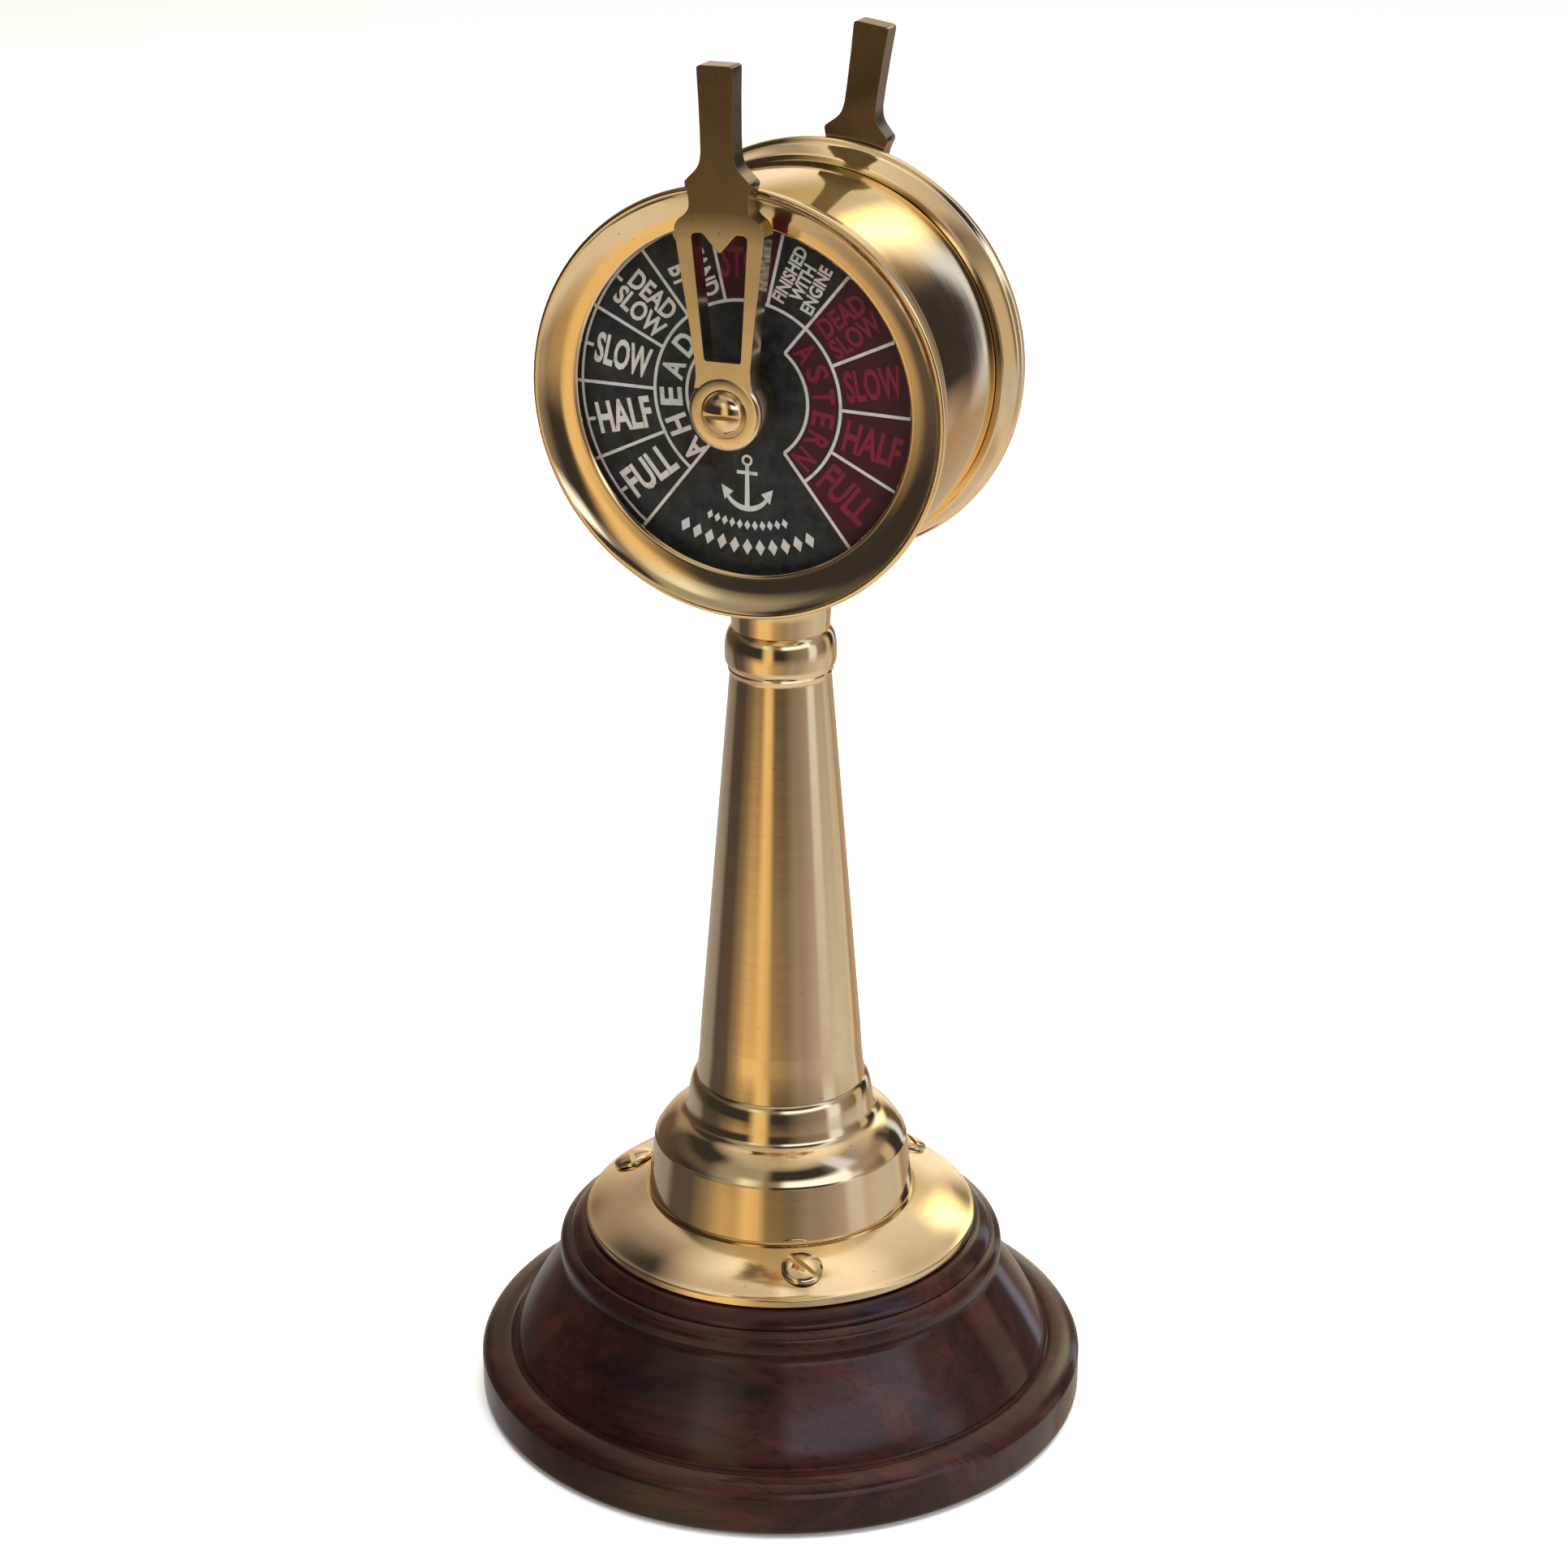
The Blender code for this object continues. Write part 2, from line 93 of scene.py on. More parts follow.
HEAD_AXIS = (BEZEL_LOW[2] + BEZEL_HIGH[2]) / 2.0
HEAD_HALF = -BEZEL_LOW[1]
DIAL_FACE = -box_mm("front_dial")[0][1]
LEVER_BACK = -box_mm("front_hub_spacer")[0][1] + 0.3
LEVER_RISE = 3.6
LEVER_LEAN = {"front": -1.3, "rear": 8.0}
TIP_CLEARANCE = 0.06
SIDES = (("front", 1), ("rear", -1))
SOLID_GAP = 0.25
ROD_HOLE = 2.4
SPINDLE_HOLE = 3.5
PLATE_RIM = 1.3
ORDERS = 11
ORDER_STEP = 284.0 / ORDERS


# ---------------------------------------------------------------- shaping

def arc_corner(before, corner, after, radius, count=5):
    """Points that round one corner of a profile."""
    corner = Vector(corner)
    back = Vector(before) - corner
    ahead = Vector(after) - corner
    if radius <= 0.0 or back.length < 1e-6 or ahead.length < 1e-6:
        return [tuple(corner)]
    turn = back.angle(ahead)
    if turn < 0.05 or turn > 3.1:
        return [tuple(corner)]
    reach = min(radius / math.tan(turn / 2.0), back.length * 0.49, ahead.length * 0.49)
    first = corner + back.normalized() * reach
    last = corner + ahead.normalized() * reach
    points = []
    for step in range(count + 1):
        along = step / count
        blend = first.lerp(corner, along).lerp(corner.lerp(last, along), along)
        points.append(tuple(blend))
    return points


def softened(profile, closed=True):
    """Round the corners of a profile given as (radius, height, corner radius)."""
    result = []
    count = len(profile)
    for index, item in enumerate(profile):
        corner = item[:2]
        radius = item[2] if len(item) > 2 else 0.0
        if not closed and index in (0, count - 1):
            result.append(corner)
            continue
        before = profile[index - 1][:2]
        after = profile[(index + 1) % count][:2]
        result.extend(arc_corner(before, corner, after, radius))
    return result


def eased(points, count=5):
    """A smooth line through a few points, ends kept."""
    full = [points[0]] + list(points) + [points[-1]]
    result = []
    for index in range(1, len(full) - 2):
        a, b, c, d = (Vector(full[index + shift]) for shift in (-1, 0, 1, 2))
        for step in range(count):
            t = step / count
            spot = 0.5 * ((2.0 * b) + (c - a) * t + (2.0 * a - 5.0 * b + 4.0 * c - d) * t * t
                          + (3.0 * b - a - 3.0 * c + d) * t * t * t)
            result.append(tuple(spot))
    result.append(tuple(points[-1]))
    return result


def spin_profile(profile, closed=True, steps=144):
    """Turn a (radius, height) profile about local Z into a closed shell."""
    shape = bmesh.new()
    verts = [shape.verts.new((radius * MM, 0.0, height * MM)) for radius, height in profile]
    edges = [shape.edges.new(pair) for pair in zip(verts, verts[1:])]
    if closed:
        edges.append(shape.edges.new((verts[-1], verts[0])))
    bmesh.ops.spin(shape, geom=verts + edges, cent=(0.0, 0.0, 0.0), axis=(0.0, 0.0, 1.0),
                   dvec=(0.0, 0.0, 0.0), angle=math.tau, steps=steps, use_merge=True,
                   use_normal_flip=False, use_duplicate=False)
    bmesh.ops.remove_doubles(shape, verts=shape.verts, dist=1e-7)
    bmesh.ops.recalc_face_normals(shape, faces=shape.faces)
    return shape


def flat_shape(loops, low, high):
    """Flat piece in local XY between two heights, from one outer outline and any holes."""
    shape = bmesh.new()
    edges = []
    for loop in loops:
        verts = [shape.verts.new((across * MM, along * MM, low * MM)) for across, along in loop]
        edges += [shape.edges.new((verts[i - 1], verts[i])) for i in range(len(verts))]
    if len(loops) == 1:
        bmesh.ops.contextual_create(shape, geom=edges)
    else:
        bmesh.ops.triangle_fill(shape, use_beauty=True, edges=edges)
        bmesh.ops.dissolve_limit(shape, angle_limit=0.01, verts=shape.verts, edges=shape.edges)
    grown = bmesh.ops.extrude_face_region(shape, geom=list(shape.faces))
    moved = [item for item in grown["geom"] if isinstance(item, bmesh.types.BMVert)]
    bmesh.ops.translate(shape, verts=moved, vec=(0.0, 0.0, (high - low) * MM))
    bmesh.ops.recalc_face_normals(shape, faces=shape.faces)
    return shape


def round_rims(shape, width, segments):
    """Bevel the sharp edges of a flat piece's front and back outlines."""
    rims = []
    for edge in shape.edges:
        if len(edge.link_faces) != 2 or edge.calc_face_angle() < 0.9:
            continue
        if abs(edge.verts[0].co.z - edge.verts[1].co.z) < 1e-6:
            rims.append(edge)
    bmesh.ops.bevel(shape, geom=rims, offset=width * MM, offset_type="OFFSET", segments=segments,
                    profile=0.5, affect="EDGES", material=-1, clamp_overlap=True)


def pour_evaluated(target, item):
    """Add an object's finished mesh to a bmesh."""
    done = bpy.data.meshes.new_from_object(item.evaluated_get(bpy.context.evaluated_depsgraph_get()))
    target.from_mesh(done)
    bpy.data.meshes.remove(done)


def pour(target, source, matrix=None):
    """Add one bmesh to another and free it."""
    if matrix is not None:
        bmesh.ops.transform(source, matrix=matrix, verts=source.verts)
    held = bpy.data.meshes.new("held")
    source.to_mesh(held)
    source.free()
    target.from_mesh(held)
    bpy.data.meshes.remove(held)


def carve(shape, cutter):
    """Cut one shape out of another and return what is left."""
    spare = []
    for part in (shape, cutter):
        mesh = bpy.data.meshes.new("carve")
        part.to_mesh(mesh)
        part.free()
        spare.append(bpy.data.objects.new("carve", mesh))
        bpy.context.scene.collection.objects.link(spare[-1])
    cut = spare[0].modifiers.new("carve", "BOOLEAN")
    cut.operation = "DIFFERENCE"
    cut.solver = "EXACT"
    cut.object = spare[1]
    bpy.context.view_layer.update()
    left = bmesh.new()
    pour_evaluated(left, spare[0])
    for item in spare:
        mesh = item.data
        bpy.data.objects.remove(item, do_unlink=True)
        bpy.data.meshes.remove(mesh)
    return left


def block(size, centre):
    """Box of a size, centred at a spot."""
    shape = bmesh.new()
    place = Matrix.Translation(Vector(centre) * MM) @ Matrix.Diagonal((*(side * MM for side in size), 1.0))
    bmesh.ops.create_cube(shape, size=1.0, matrix=place)
    return shape


def head_place(side, lean=0.0):
    """From local Z = outwards and local Y = up to the head's front (1) or rear (-1) face."""
    return (Matrix.Translation((0.0, 0.0, HEAD_AXIS * MM)) @ Matrix.Rotation(math.radians(lean), 4, "Y")
            @ Matrix.Rotation(math.radians(90.0 - 90.0 * side), 4, "Z")
            @ Matrix.Rotation(math.radians(90.0), 4, "X"))


def finish_piece(name, shape, matrix, finish, body, nodes=(), sharp=32.0):
    """Make one visible piece from a bmesh, ride it on its body and hide the nodes it stands for."""
    if matrix is not None:
        bmesh.ops.transform(shape, matrix=matrix, verts=shape.verts)
    mesh = bpy.data.meshes.new(name)
    shape.to_mesh(mesh)
    shape.free()
    for face in mesh.polygons:
        face.use_smooth = True
    mesh.set_sharp_from_angle(angle=math.radians(sharp))
    piece = bpy.data.objects.new(name, mesh)
    bpy.context.scene.collection.objects.link(piece)
    mesh.materials.append(finish)
    flat = piece.modifiers.new("flat_faces", "WEIGHTED_NORMAL")
    flat.keep_sharp = True
    flat.weight = 80
    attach(piece, body)
    if nodes:
        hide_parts(*nodes)


def turned_piece(name, profile, node, finish="brass", steps=144, closed=True, matrix=None):
    """Finish one turned brass piece, standing on the stand's own axis unless it is placed elsewhere."""
    shape = spin_profile(profile, closed, steps)
    finish_piece(name, shape, matrix, FINISH[finish], STAND, [node])


# ---------------------------------------------------------------- finishes

def add_node(tree, kind, **settings):
    made = tree.nodes.new(kind)
    for key, value in settings.items():
        setattr(made, key, value)
    return made


def put(made, socket, value):
    made.inputs[socket].default_value = value


def blend_colours(tree, kind, factor, first, second):
    """Mix two colour outputs; the factor is a number or an output."""
    made = add_node(tree, "ShaderNodeMix", data_type="RGBA", blend_type=kind)
    if isinstance(factor, float):
        put(made, "Factor", factor)
    else:
        tree.links.new(factor, made.inputs["Factor"])
    tree.links.new(first, made.inputs["A"])
    tree.links.new(second, made.inputs["B"])
    return made.outputs["Result"]


def ramp(tree, stops, source):
    made = add_node(tree, "ShaderNodeValToRGB")
    band = made.color_ramp
    while len(band.elements) < len(stops):
        band.elements.new(0.5)
    for element, (place, colour) in zip(band.elements, stops):
        element.position = place
        element.color = (*colour, 1.0)
    tree.links.new(source, made.inputs["Fac"])
    return made.outputs["Color"]


def noise(tree, vector, scale, detail=4.0, roughness=0.55, distortion=0.0):
    made = add_node(tree, "ShaderNodeTexNoise")
    put(made, "Scale", scale)
    put(made, "Detail", detail)
    put(made, "Roughness", roughness)
    put(made, "Distortion", distortion)
    tree.links.new(vector, made.inputs["Vector"])
    return made.outputs["Fac"]


def mapped(tree, vector, location=(0.0, 0.0, 0.0), rotation=(0.0, 0.0, 0.0), scale=(1.0, 1.0, 1.0)):
    made = add_node(tree, "ShaderNodeMapping")
    put(made, "Location", location)
    put(made, "Rotation", rotation)
    put(made, "Scale", scale)
    tree.links.new(vector, made.inputs["Vector"])
    return made.outputs["Vector"]


def spread(tree, source, low, high, from_low=0.3, from_high=0.7):
    """Map a value from one range to another, clamped at its ends."""
    made = add_node(tree, "ShaderNodeMapRange")
    put(made, "From Min", from_low)
    put(made, "From Max", from_high)
    put(made, "To Min", low)
    put(made, "To Max", high)
    tree.links.new(source, made.inputs["Value"])
    return made.outputs["Result"]


def sums(tree, operation, first, second=None):
    """Arithmetic on numbers and outputs."""
    made = add_node(tree, "ShaderNodeMath", operation=operation)
    for index, value in enumerate((first, second)):
        if value is None:
            continue
        if isinstance(value, (int, float)):
            made.inputs[index].default_value = value
        else:
            tree.links.new(value, made.inputs[index])
    return made.outputs["Value"]


def bumped(tree, shader, height, strength, depth, after=None):
    """Bump of a depth in millimetres, on top of an earlier bump, into a shader if one is given."""
    made = add_node(tree, "ShaderNodeBump")
    put(made, "Strength", strength)
    put(made, "Distance", depth * MM)
    tree.links.new(height, made.inputs["Height"])
    if after is not None:
        tree.links.new(after, made.inputs["Normal"])
    if shader is not None:
        tree.links.new(made.outputs["Normal"], shader.inputs["Normal"])
    return made.outputs["Normal"]


def new_finish(name):
    """Material with its node tree, its Principled shader and the piece's own coordinates."""
    made = bpy.data.materials.new(name)
    made.use_nodes = True
    tree = made.node_tree
    point = add_node(tree, "ShaderNodeTexCoord").outputs["Object"]
    return made, tree, tree.nodes["Principled BSDF"], point


def lathe_lines(tree, point, axis):
    """Height that changes only along and across a turned piece, so its marks run round it."""
    shift = (0.0, 0.0, 0.0) if axis == "Z" else (0.0, 0.0, -HEAD_AXIS * MM)
    centred = mapped(tree, point, location=shift)
    split = add_node(tree, "ShaderNodeSeparateXYZ")
    tree.links.new(centred, split.inputs["Vector"])
    flat = ("X", "Y") if axis == "Z" else ("X", "Z")
    along = split.outputs["Z"] if axis == "Z" else split.outputs["Y"]
    squares = [sums(tree, "MULTIPLY", split.outputs[side], split.outputs[side]) for side in flat]
    radius = sums(tree, "SQRT", sums(tree, "ADD", *squares))
    joined = add_node(tree, "ShaderNodeCombineXYZ")
    tree.links.new(radius, joined.inputs["X"])
    tree.links.new(along, joined.inputs["Y"])
    return joined.outputs["Vector"]


# Distances from the head's axis over which the lever brass darkens into a painted dark reflection on the
# grips.
GRIP_START = 26.2
GRIP_END = 30.5


def brass_finish(name, bright, warm, rough, axis="Z", line_strength=0.10, dark_reflection=None):
    """Polished brass: warm drift, tarnish freckles, lathe marks round the piece, dents and haze.

    With a dark reflection colour the brass darkens towards it away from the head's axis, a painted dark
    reflection on the lever grips.
    """
    made, tree, shader, point = new_finish(name)
    put(shader, "Metallic", 1.0)
    drift = noise(tree, point, 38.0, 5.0, 0.6)
    speckle = noise(tree, point, 1100.0, 3.0, 0.6)
    tone = ramp(tree, [(0.34, warm), (0.62, bright)], drift)
    spots = ramp(tree, [(0.24, (0.66, 0.60, 0.52)), (0.33, (1.0, 1.0, 1.0))], speckle)
    tint = blend_colours(tree, "MULTIPLY", 1.0, tone, spots)
    # Painted dark reflection: the brass darkens away from the head's axis, over the lever grips.
    if dark_reflection is not None:
        away = add_node(tree, "ShaderNodeSeparateXYZ")
        tree.links.new(lathe_lines(tree, point, "Y"), away.inputs["Vector"])
        shade = ramp(tree, [(0.0, (1.0, 1.0, 1.0)), (1.0, dark_reflection)],
                     spread(tree, away.outputs["X"], 0.0, 1.0, GRIP_START * MM, GRIP_END * MM))
        tint = blend_colours(tree, "MULTIPLY", 1.0, tint, shade)
    tree.links.new(tint, shader.inputs["Base Color"])
    across = (lathe_lines(tree, point, axis) if axis in ("Z", "Y")
              else mapped(tree, point, scale=(1.0, 1.0, 0.03)))
    lines = noise(tree, across, 5200.0, 2.0, 0.5)
    waves = noise(tree, across, 420.0, 2.0, 0.5)
    haze = noise(tree, point, 120.0, 4.0, 0.65)
    smear = sums(tree, "ADD", spread(tree, haze, rough * 0.7, rough * 1.4),
                 spread(tree, lines, -0.02, 0.03))
    tree.links.new(smear, shader.inputs["Roughness"])
    first = bumped(tree, None, lines, line_strength, 0.02)
    second = bumped(tree, None, waves, 0.12, 0.08, after=first)
    bumped(tree, shader, noise(tree, point, 70.0, 2.0, 0.5), 0.12, 0.14, after=second)
    return made


def wood_finish(name, dark, red):
    """Dark red-brown stain over open grain, under a thick gloss lacquer."""
    made, tree, shader, point = new_finish(name)
    slant = (0.0, 0.05, 0.35)
    bent = mapped(tree, point, location=(0.01, 0.05, 0.02), rotation=slant, scale=(0.16, 1.0, 1.0))
    rings = noise(tree, bent, 105.0, 6.0, 0.62, 1.4)
    drawn = mapped(tree, point, rotation=slant, scale=(0.05, 1.0, 1.0))
    pores = noise(tree, drawn, 1300.0, 3.0, 0.6)
    cloud = noise(tree, point, 26.0, 3.0, 0.5)
    grain = ramp(tree, [(0.30, dark), (0.52, tuple(0.45 * a + 0.55 * b for a, b in zip(red, dark))),
                        (0.70, red)], rings)
    shade = ramp(tree, [(0.30, (0.55, 0.5, 0.5)), (0.70, (1.25, 1.1, 1.1))], cloud)
    stained = blend_colours(tree, "MULTIPLY", 1.0, grain, shade)
    pits = ramp(tree, [(0.34, (0.35, 0.3, 0.3)), (0.44, (1.0, 1.0, 1.0))], pores)
    tree.links.new(blend_colours(tree, "MULTIPLY", 0.8, stained, pits), shader.inputs["Base Color"])
    tree.links.new(spread(tree, rings, 0.32, 0.5), shader.inputs["Roughness"])
    put(shader, "Specular IOR Level", 0.15)
    put(shader, "Coat Weight", 0.8)
    put(shader, "Coat Roughness", 0.06)
    put(shader, "Coat IOR", 1.4)
    fine = bumped(tree, None, pores, 0.10, 0.05)
    bumped(tree, shader, cloud, 0.12, 0.3, after=fine)
    return made


def print_finish(name, colour, worn):
    """Screen-printed paint, slightly worn in patches, with an uneven coat."""
    made, tree, shader, point = new_finish(name)
    patch = noise(tree, point, 700.0, 4.0, 0.7)
    tone = ramp(tree, [(0.30, worn), (0.48, colour)], patch)
    tree.links.new(tone, shader.inputs["Base Color"])
    put(shader, "Specular IOR Level", 0.25)
    tree.links.new(spread(tree, noise(tree, point, 300.0), 0.38, 0.6), shader.inputs["Roughness"])
    bumped(tree, shader, patch, 0.15, 0.02)
    return made


def dial_finish(name, colour):
    """Black satin dial paint with faint dust and orange peel."""
    made, tree, shader, point = new_finish(name)
    dust = noise(tree, point, 420.0, 5.0, 0.7)
    tone = ramp(tree, [(0.35, colour), (0.85, tuple(3.2 * part + 0.006 for part in colour))], dust)
    tree.links.new(tone, shader.inputs["Base Color"])
    put(shader, "Specular IOR Level", 0.25)
    tree.links.new(spread(tree, noise(tree, point, 90.0), 0.30, 0.46), shader.inputs["Roughness"])
    bumped(tree, shader, noise(tree, point, 1500.0, 2.0), 0.08, 0.02)
    return made


def steel_finish(name, colour, rough):
    """Drawn steel with fine lines and a patchy plating."""
    made, tree, shader, point = new_finish(name)
    put(shader, "Metallic", 1.0)
    patches = noise(tree, point, 160.0)
    tone = ramp(tree, [(0.3, tuple(0.72 * part for part in colour)), (0.7, colour)], patches)
    tree.links.new(tone, shader.inputs["Base Color"])
    lines = noise(tree, mapped(tree, point, scale=(1.0, 1.0, 0.05)), 2600.0, 2.0)
    tree.links.new(spread(tree, lines, rough * 0.8, rough * 1.4), shader.inputs["Roughness"])
    bumped(tree, shader, lines, 0.12, 0.02)
    return made


def felt_finish(name, colour):
    """Short matt felt."""
    made, tree, shader, point = new_finish(name)
    fuzz = noise(tree, point, 2600.0, 6.0, 0.75)
    deep, pale = (tuple(share * part for part in colour) for share in (0.5, 1.6))
    tone = ramp(tree, [(0.3, deep), (0.7, pale)], fuzz)
    tree.links.new(tone, shader.inputs["Base Color"])
    put(shader, "Roughness", 0.95)
    put(shader, "Sheen Weight", 0.4)
    put(shader, "Sheen Roughness", 0.5)
    bumped(tree, shader, fuzz, 0.6, 0.25)
    return made


FINISH = {}


def prepare_finishes(colours):
    """Make every finish once, from the colours in the panel."""
    bright = tuple(colours.brass)
    warm = tuple(colours.brass_warm)
    pale = tuple(min(1.0, part + 0.05) for part in bright)
    cast = tuple(colours.lever)
    FINISH["brass"] = brass_finish("polished_brass", bright, warm, 0.08)
    FINISH["plate_brass"] = brass_finish("plate_brass", pale, bright, 0.13)
    FINISH["head"] = brass_finish("head_brass", bright, warm, 0.08, "Y")
    # The lever finish carries a painted dark reflection on its grips.
    FINISH["lever"] = brass_finish("lever_brass", cast, tuple(0.8 * part for part in cast), 0.18, "flat",
                                   0.2, tuple(colours.grip))
    FINISH["wood"] = wood_finish("lacquered_wood", tuple(colours.wood_dark), tuple(colours.wood_red))
    FINISH["dial"] = dial_finish("dial_black", tuple(colours.dial))
    FINISH["white"] = print_finish("print_white", tuple(colours.print_white), (0.24, 0.22, 0.20))
    FINISH["red"] = print_finish("print_red", tuple(colours.print_red), (0.14, 0.006, 0.018))
    FINISH["maroon"] = print_finish("print_ground", tuple(colours.print_ground), (0.020, 0.004, 0.008))
    FINISH["steel"] = steel_finish("zinc_steel", (0.52, 0.52, 0.54), 0.3)
    FINISH["plate"] = brass_finish("bearing_brass", (0.42, 0.31, 0.16), (0.30, 0.2, 0.1), 0.38, "Y", 0.3)
    FINISH["felt"] = felt_finish("green_felt", (0.02, 0.07, 0.04))


# ---------------------------------------------------------------- sizes and colours a user may change

def length(name, description, default, low, high):
    return FloatProperty(name=name, description=description + ", in millimetres", default=default, min=low,
                         max=high)


def colour(name, description, default):
    return FloatVectorProperty(name=name, description=description, subtype="COLOR", size=3, min=0.0, max=1.0,
                               default=default)


class TelegraphSizes(bpy.types.PropertyGroup):
    plate_edge: length("Plate edge", "Corner radius of the base plate", 0.45, 0.05, 0.8)
    lever_edge: length("Lever edge", "Rounding of the lever outline", 0.55, 0.1, 0.9)
    lever_thickness: length("Lever thickness", "Thickness of the levers", 3.5, 2.0, 3.6)
    slot_width: length("Slot width", "Width of the screw slots", 0.8, 0.4, 1.2)
    print_height: length("Print height", "Thickness of the dial print", 0.05, 0.02, 0.1)
    order_letter: length("Order lettering", "Height of the order words", 5.0, 2.0, 6.0)
    print_line: length("Print line", "Width of the printed lines", 0.5, 0.2, 1.0)


class TelegraphColours(bpy.types.PropertyGroup):
    brass: colour("Brass", "Polished brass", (0.90, 0.74, 0.49))
    brass_warm: colour("Warm brass", "Warmer patches in the brass", (0.87, 0.68, 0.42))
    lever: colour("Lever brass", "Satin brass of the levers", (0.86, 0.76, 0.58))
    # Colour of the painted dark reflection on the lever grips.
    grip: colour("Grip painted reflection", "Painted dark reflection on the lever grips", (0.34, 0.30, 0.26))
    wood_dark: colour("Dark wood", "Darkest stain in the grain", (0.006, 0.0025, 0.0025))
    wood_red: colour("Red wood", "Reddest stain in the grain", (0.040, 0.009, 0.007))
    dial: colour("Dial", "Dial paint", (0.006, 0.007, 0.007))
    print_white: colour("White print", "White lines and words", (0.36, 0.33, 0.30))
    print_red: colour("Red print", "Red words", (0.105, 0.005, 0.018))
    print_ground: colour("Red ground", "Ground behind the red words", (0.032, 0.004, 0.009))


# ---------------------------------------------------------------- pieces

class TELEGRAPH_OT_wood_base(bpy.types.Operator):
    """Turned wood base with its top bead, sloping body, groove and rim"""
    bl_idname = "telegraph.wood_base"
    bl_label = "Wood base"

    def execute(self, context):
        rim = WOOD_HIGH[0]
        top = WOOD_HIGH[2]
        under = WOOD_LOW[2]
        pocket, pocket_top = 7.5, 8.0
        slope = eased([(36.6, 24.45), (36.85, 23.75), (37.6, 22.6), (39.0, 20.5), (41.7, 16.3), (44.0, 12.3),
                       (44.95, 10.3), (45.25, 9.45)], 6)
        bead = eased([(33.0, top), (33.7, top - 0.3), (34.6, top - 1.1), (35.1, top - 1.75),
                      (35.3, top - 2.2)], 5)
        fillet = [(35.15, top - 2.4), (35.7, top - 2.5)]
        belly = eased([(36.0, top - 2.65), (36.75, top - 3.2), (37.15, top - 4.2), (37.15, top - 5.6),
                       (36.85, top - 6.5)], 5)
        lip = eased([(45.5, 9.25), (46.3, 9.6), (47.6, 9.45), (49.2, 8.9), (50.2, 8.15), (rim, 7.1)], 5)
        foot = softened([(rim, 4.0), (rim, under, 0.9), (44.6, under, 0.2), (44.6, 1.5), (pocket, 1.5),
                         (pocket, pocket_top), (ROD_HOLE, pocket_top), (ROD_HOLE, top), (33.0, top)],
                        closed=False)
        shape = spin_profile(bead + fillet + belly + slope + lip + foot, steps=192)
        finish_piece("turned_base", shape, None, FINISH["wood"], STAND, ["wood_base"], 40.0)
        return {"FINISHED"}


def plate_profile(edge):
    """Domed plate with a rounded edge."""
    rim, top, under = PLATE_HIGH[0], PLATE_HIGH[2], PLATE_LOW[2]
    crown = eased([(FOOT_HIGH[0] + 0.3, top), (25.6, top - 0.9), (29.0, top - 2.25),
                   (rim - edge - 0.1, under + PLATE_RIM + 0.2)], 5)
    return [(ROD_HOLE, top)] + crown + softened(
        [crown[-1], (rim, under + PLATE_RIM, edge), (rim, under, 0.1), (ROD_HOLE, under)], closed=False)[1:]


def foot_profile():
    """Neck, rounded shoulder and upright drum of the foot."""
    wide, high, low = FOOT_HIGH[0], FOOT_HIGH[2], FOOT_LOW[2] - SOLID_GAP
    shoulder = eased([(13.95, high), (14.3, high - 0.35), (14.65, high - 1.0), (15.0, high - 2.2),
                      (15.25, high - 3.8), (15.45, high - 5.2), (15.8, high - 6.2), (16.4, high - 6.8),
                      (17.3, high - 7.3), (18.2, high - 7.95), (19.3, high - 9.0), (20.2, high - 10.2),
                      (20.75, high - 11.2)], 4)
    return [(ROD_HOLE, high)] + shoulder + softened(
        [shoulder[-1], (20.98, high - 11.45, 0.1), (wide, low + 0.7, 0.3), (wide - 0.25, low, 0.1),
         (ROD_HOLE, low)], closed=False)[1:]


def column_profile():
    """Tapered column, flared at its lower end, with a fine bead at the top."""
    low, high = COLUMN_LOW[2] - SOLID_GAP, COLUMN_HIGH[2]
    flare = eased([(13.2, low + 8.0), (13.36, low + 5.2), (13.55, low + 3.0), (13.75, low + 1.2),
                   (13.9, low)], 6)
    return [(ROD_HOLE, high), (8.3, high), (8.42, high - 0.3), (8.34, high - 0.65), (8.17, high - 0.95),
            (8.15, high - 1.3)] + flare + [(ROD_HOLE, low)]


def collar_profile():
    """Short collar with a rounded belly."""
    low, high = COLLAR_LOW[2] - SOLID_GAP, COLLAR_HIGH[2] + SOLID_GAP
    belly = eased([(7.75, high), (8.15, high - 0.45), (8.55, high - 1.2), (8.8, high - 2.2),
                   (8.92, high - 3.4), (8.92, high - 4.9), (8.8, high - 5.8), (8.42, low)], 5)
    return [(ROD_HOLE, high)] + belly + [(ROD_HOLE, low)]


def saddle_profile():
    """Saddle that spreads upwards into the barrel, with a blind hole for the rod."""
    low = SADDLE_LOW[2]
    top, hole = low + 11.7, low + 4.8
    flank = eased([(10.7, top), (10.3, low + 10.0), (9.0, low + 6.7), (8.15, low + 3.7), (7.93, low + 1.6),
                   (7.85, low)], 6)
    return [(0.0, top)] + flank + [(ROD_HOLE, low), (ROD_HOLE, hole), (0.0, hole)]


class TELEGRAPH_OT_pedestal(bpy.types.Operator):
    """Base plate, pedestal foot, tapered column, neck collar and saddle"""
    bl_idname = "telegraph.pedestal"
    bl_label = "Pedestal"

    def execute(self, context):
        edge = context.scene.telegraph_sizes.plate_edge
        turned_piece("plate_disc", plate_profile(edge), "base_plate", "plate_brass", steps=160)
        turned_piece("pedestal_drum", foot_profile(), "pedestal_foot", steps=160)
        turned_piece("tapered_column", column_profile(), "column")
        turned_piece("cupped_collar", collar_profile(), "neck_collar")
        turned_piece("flared_saddle", saddle_profile(), "head_saddle", closed=False)
        return {"FINISHED"}


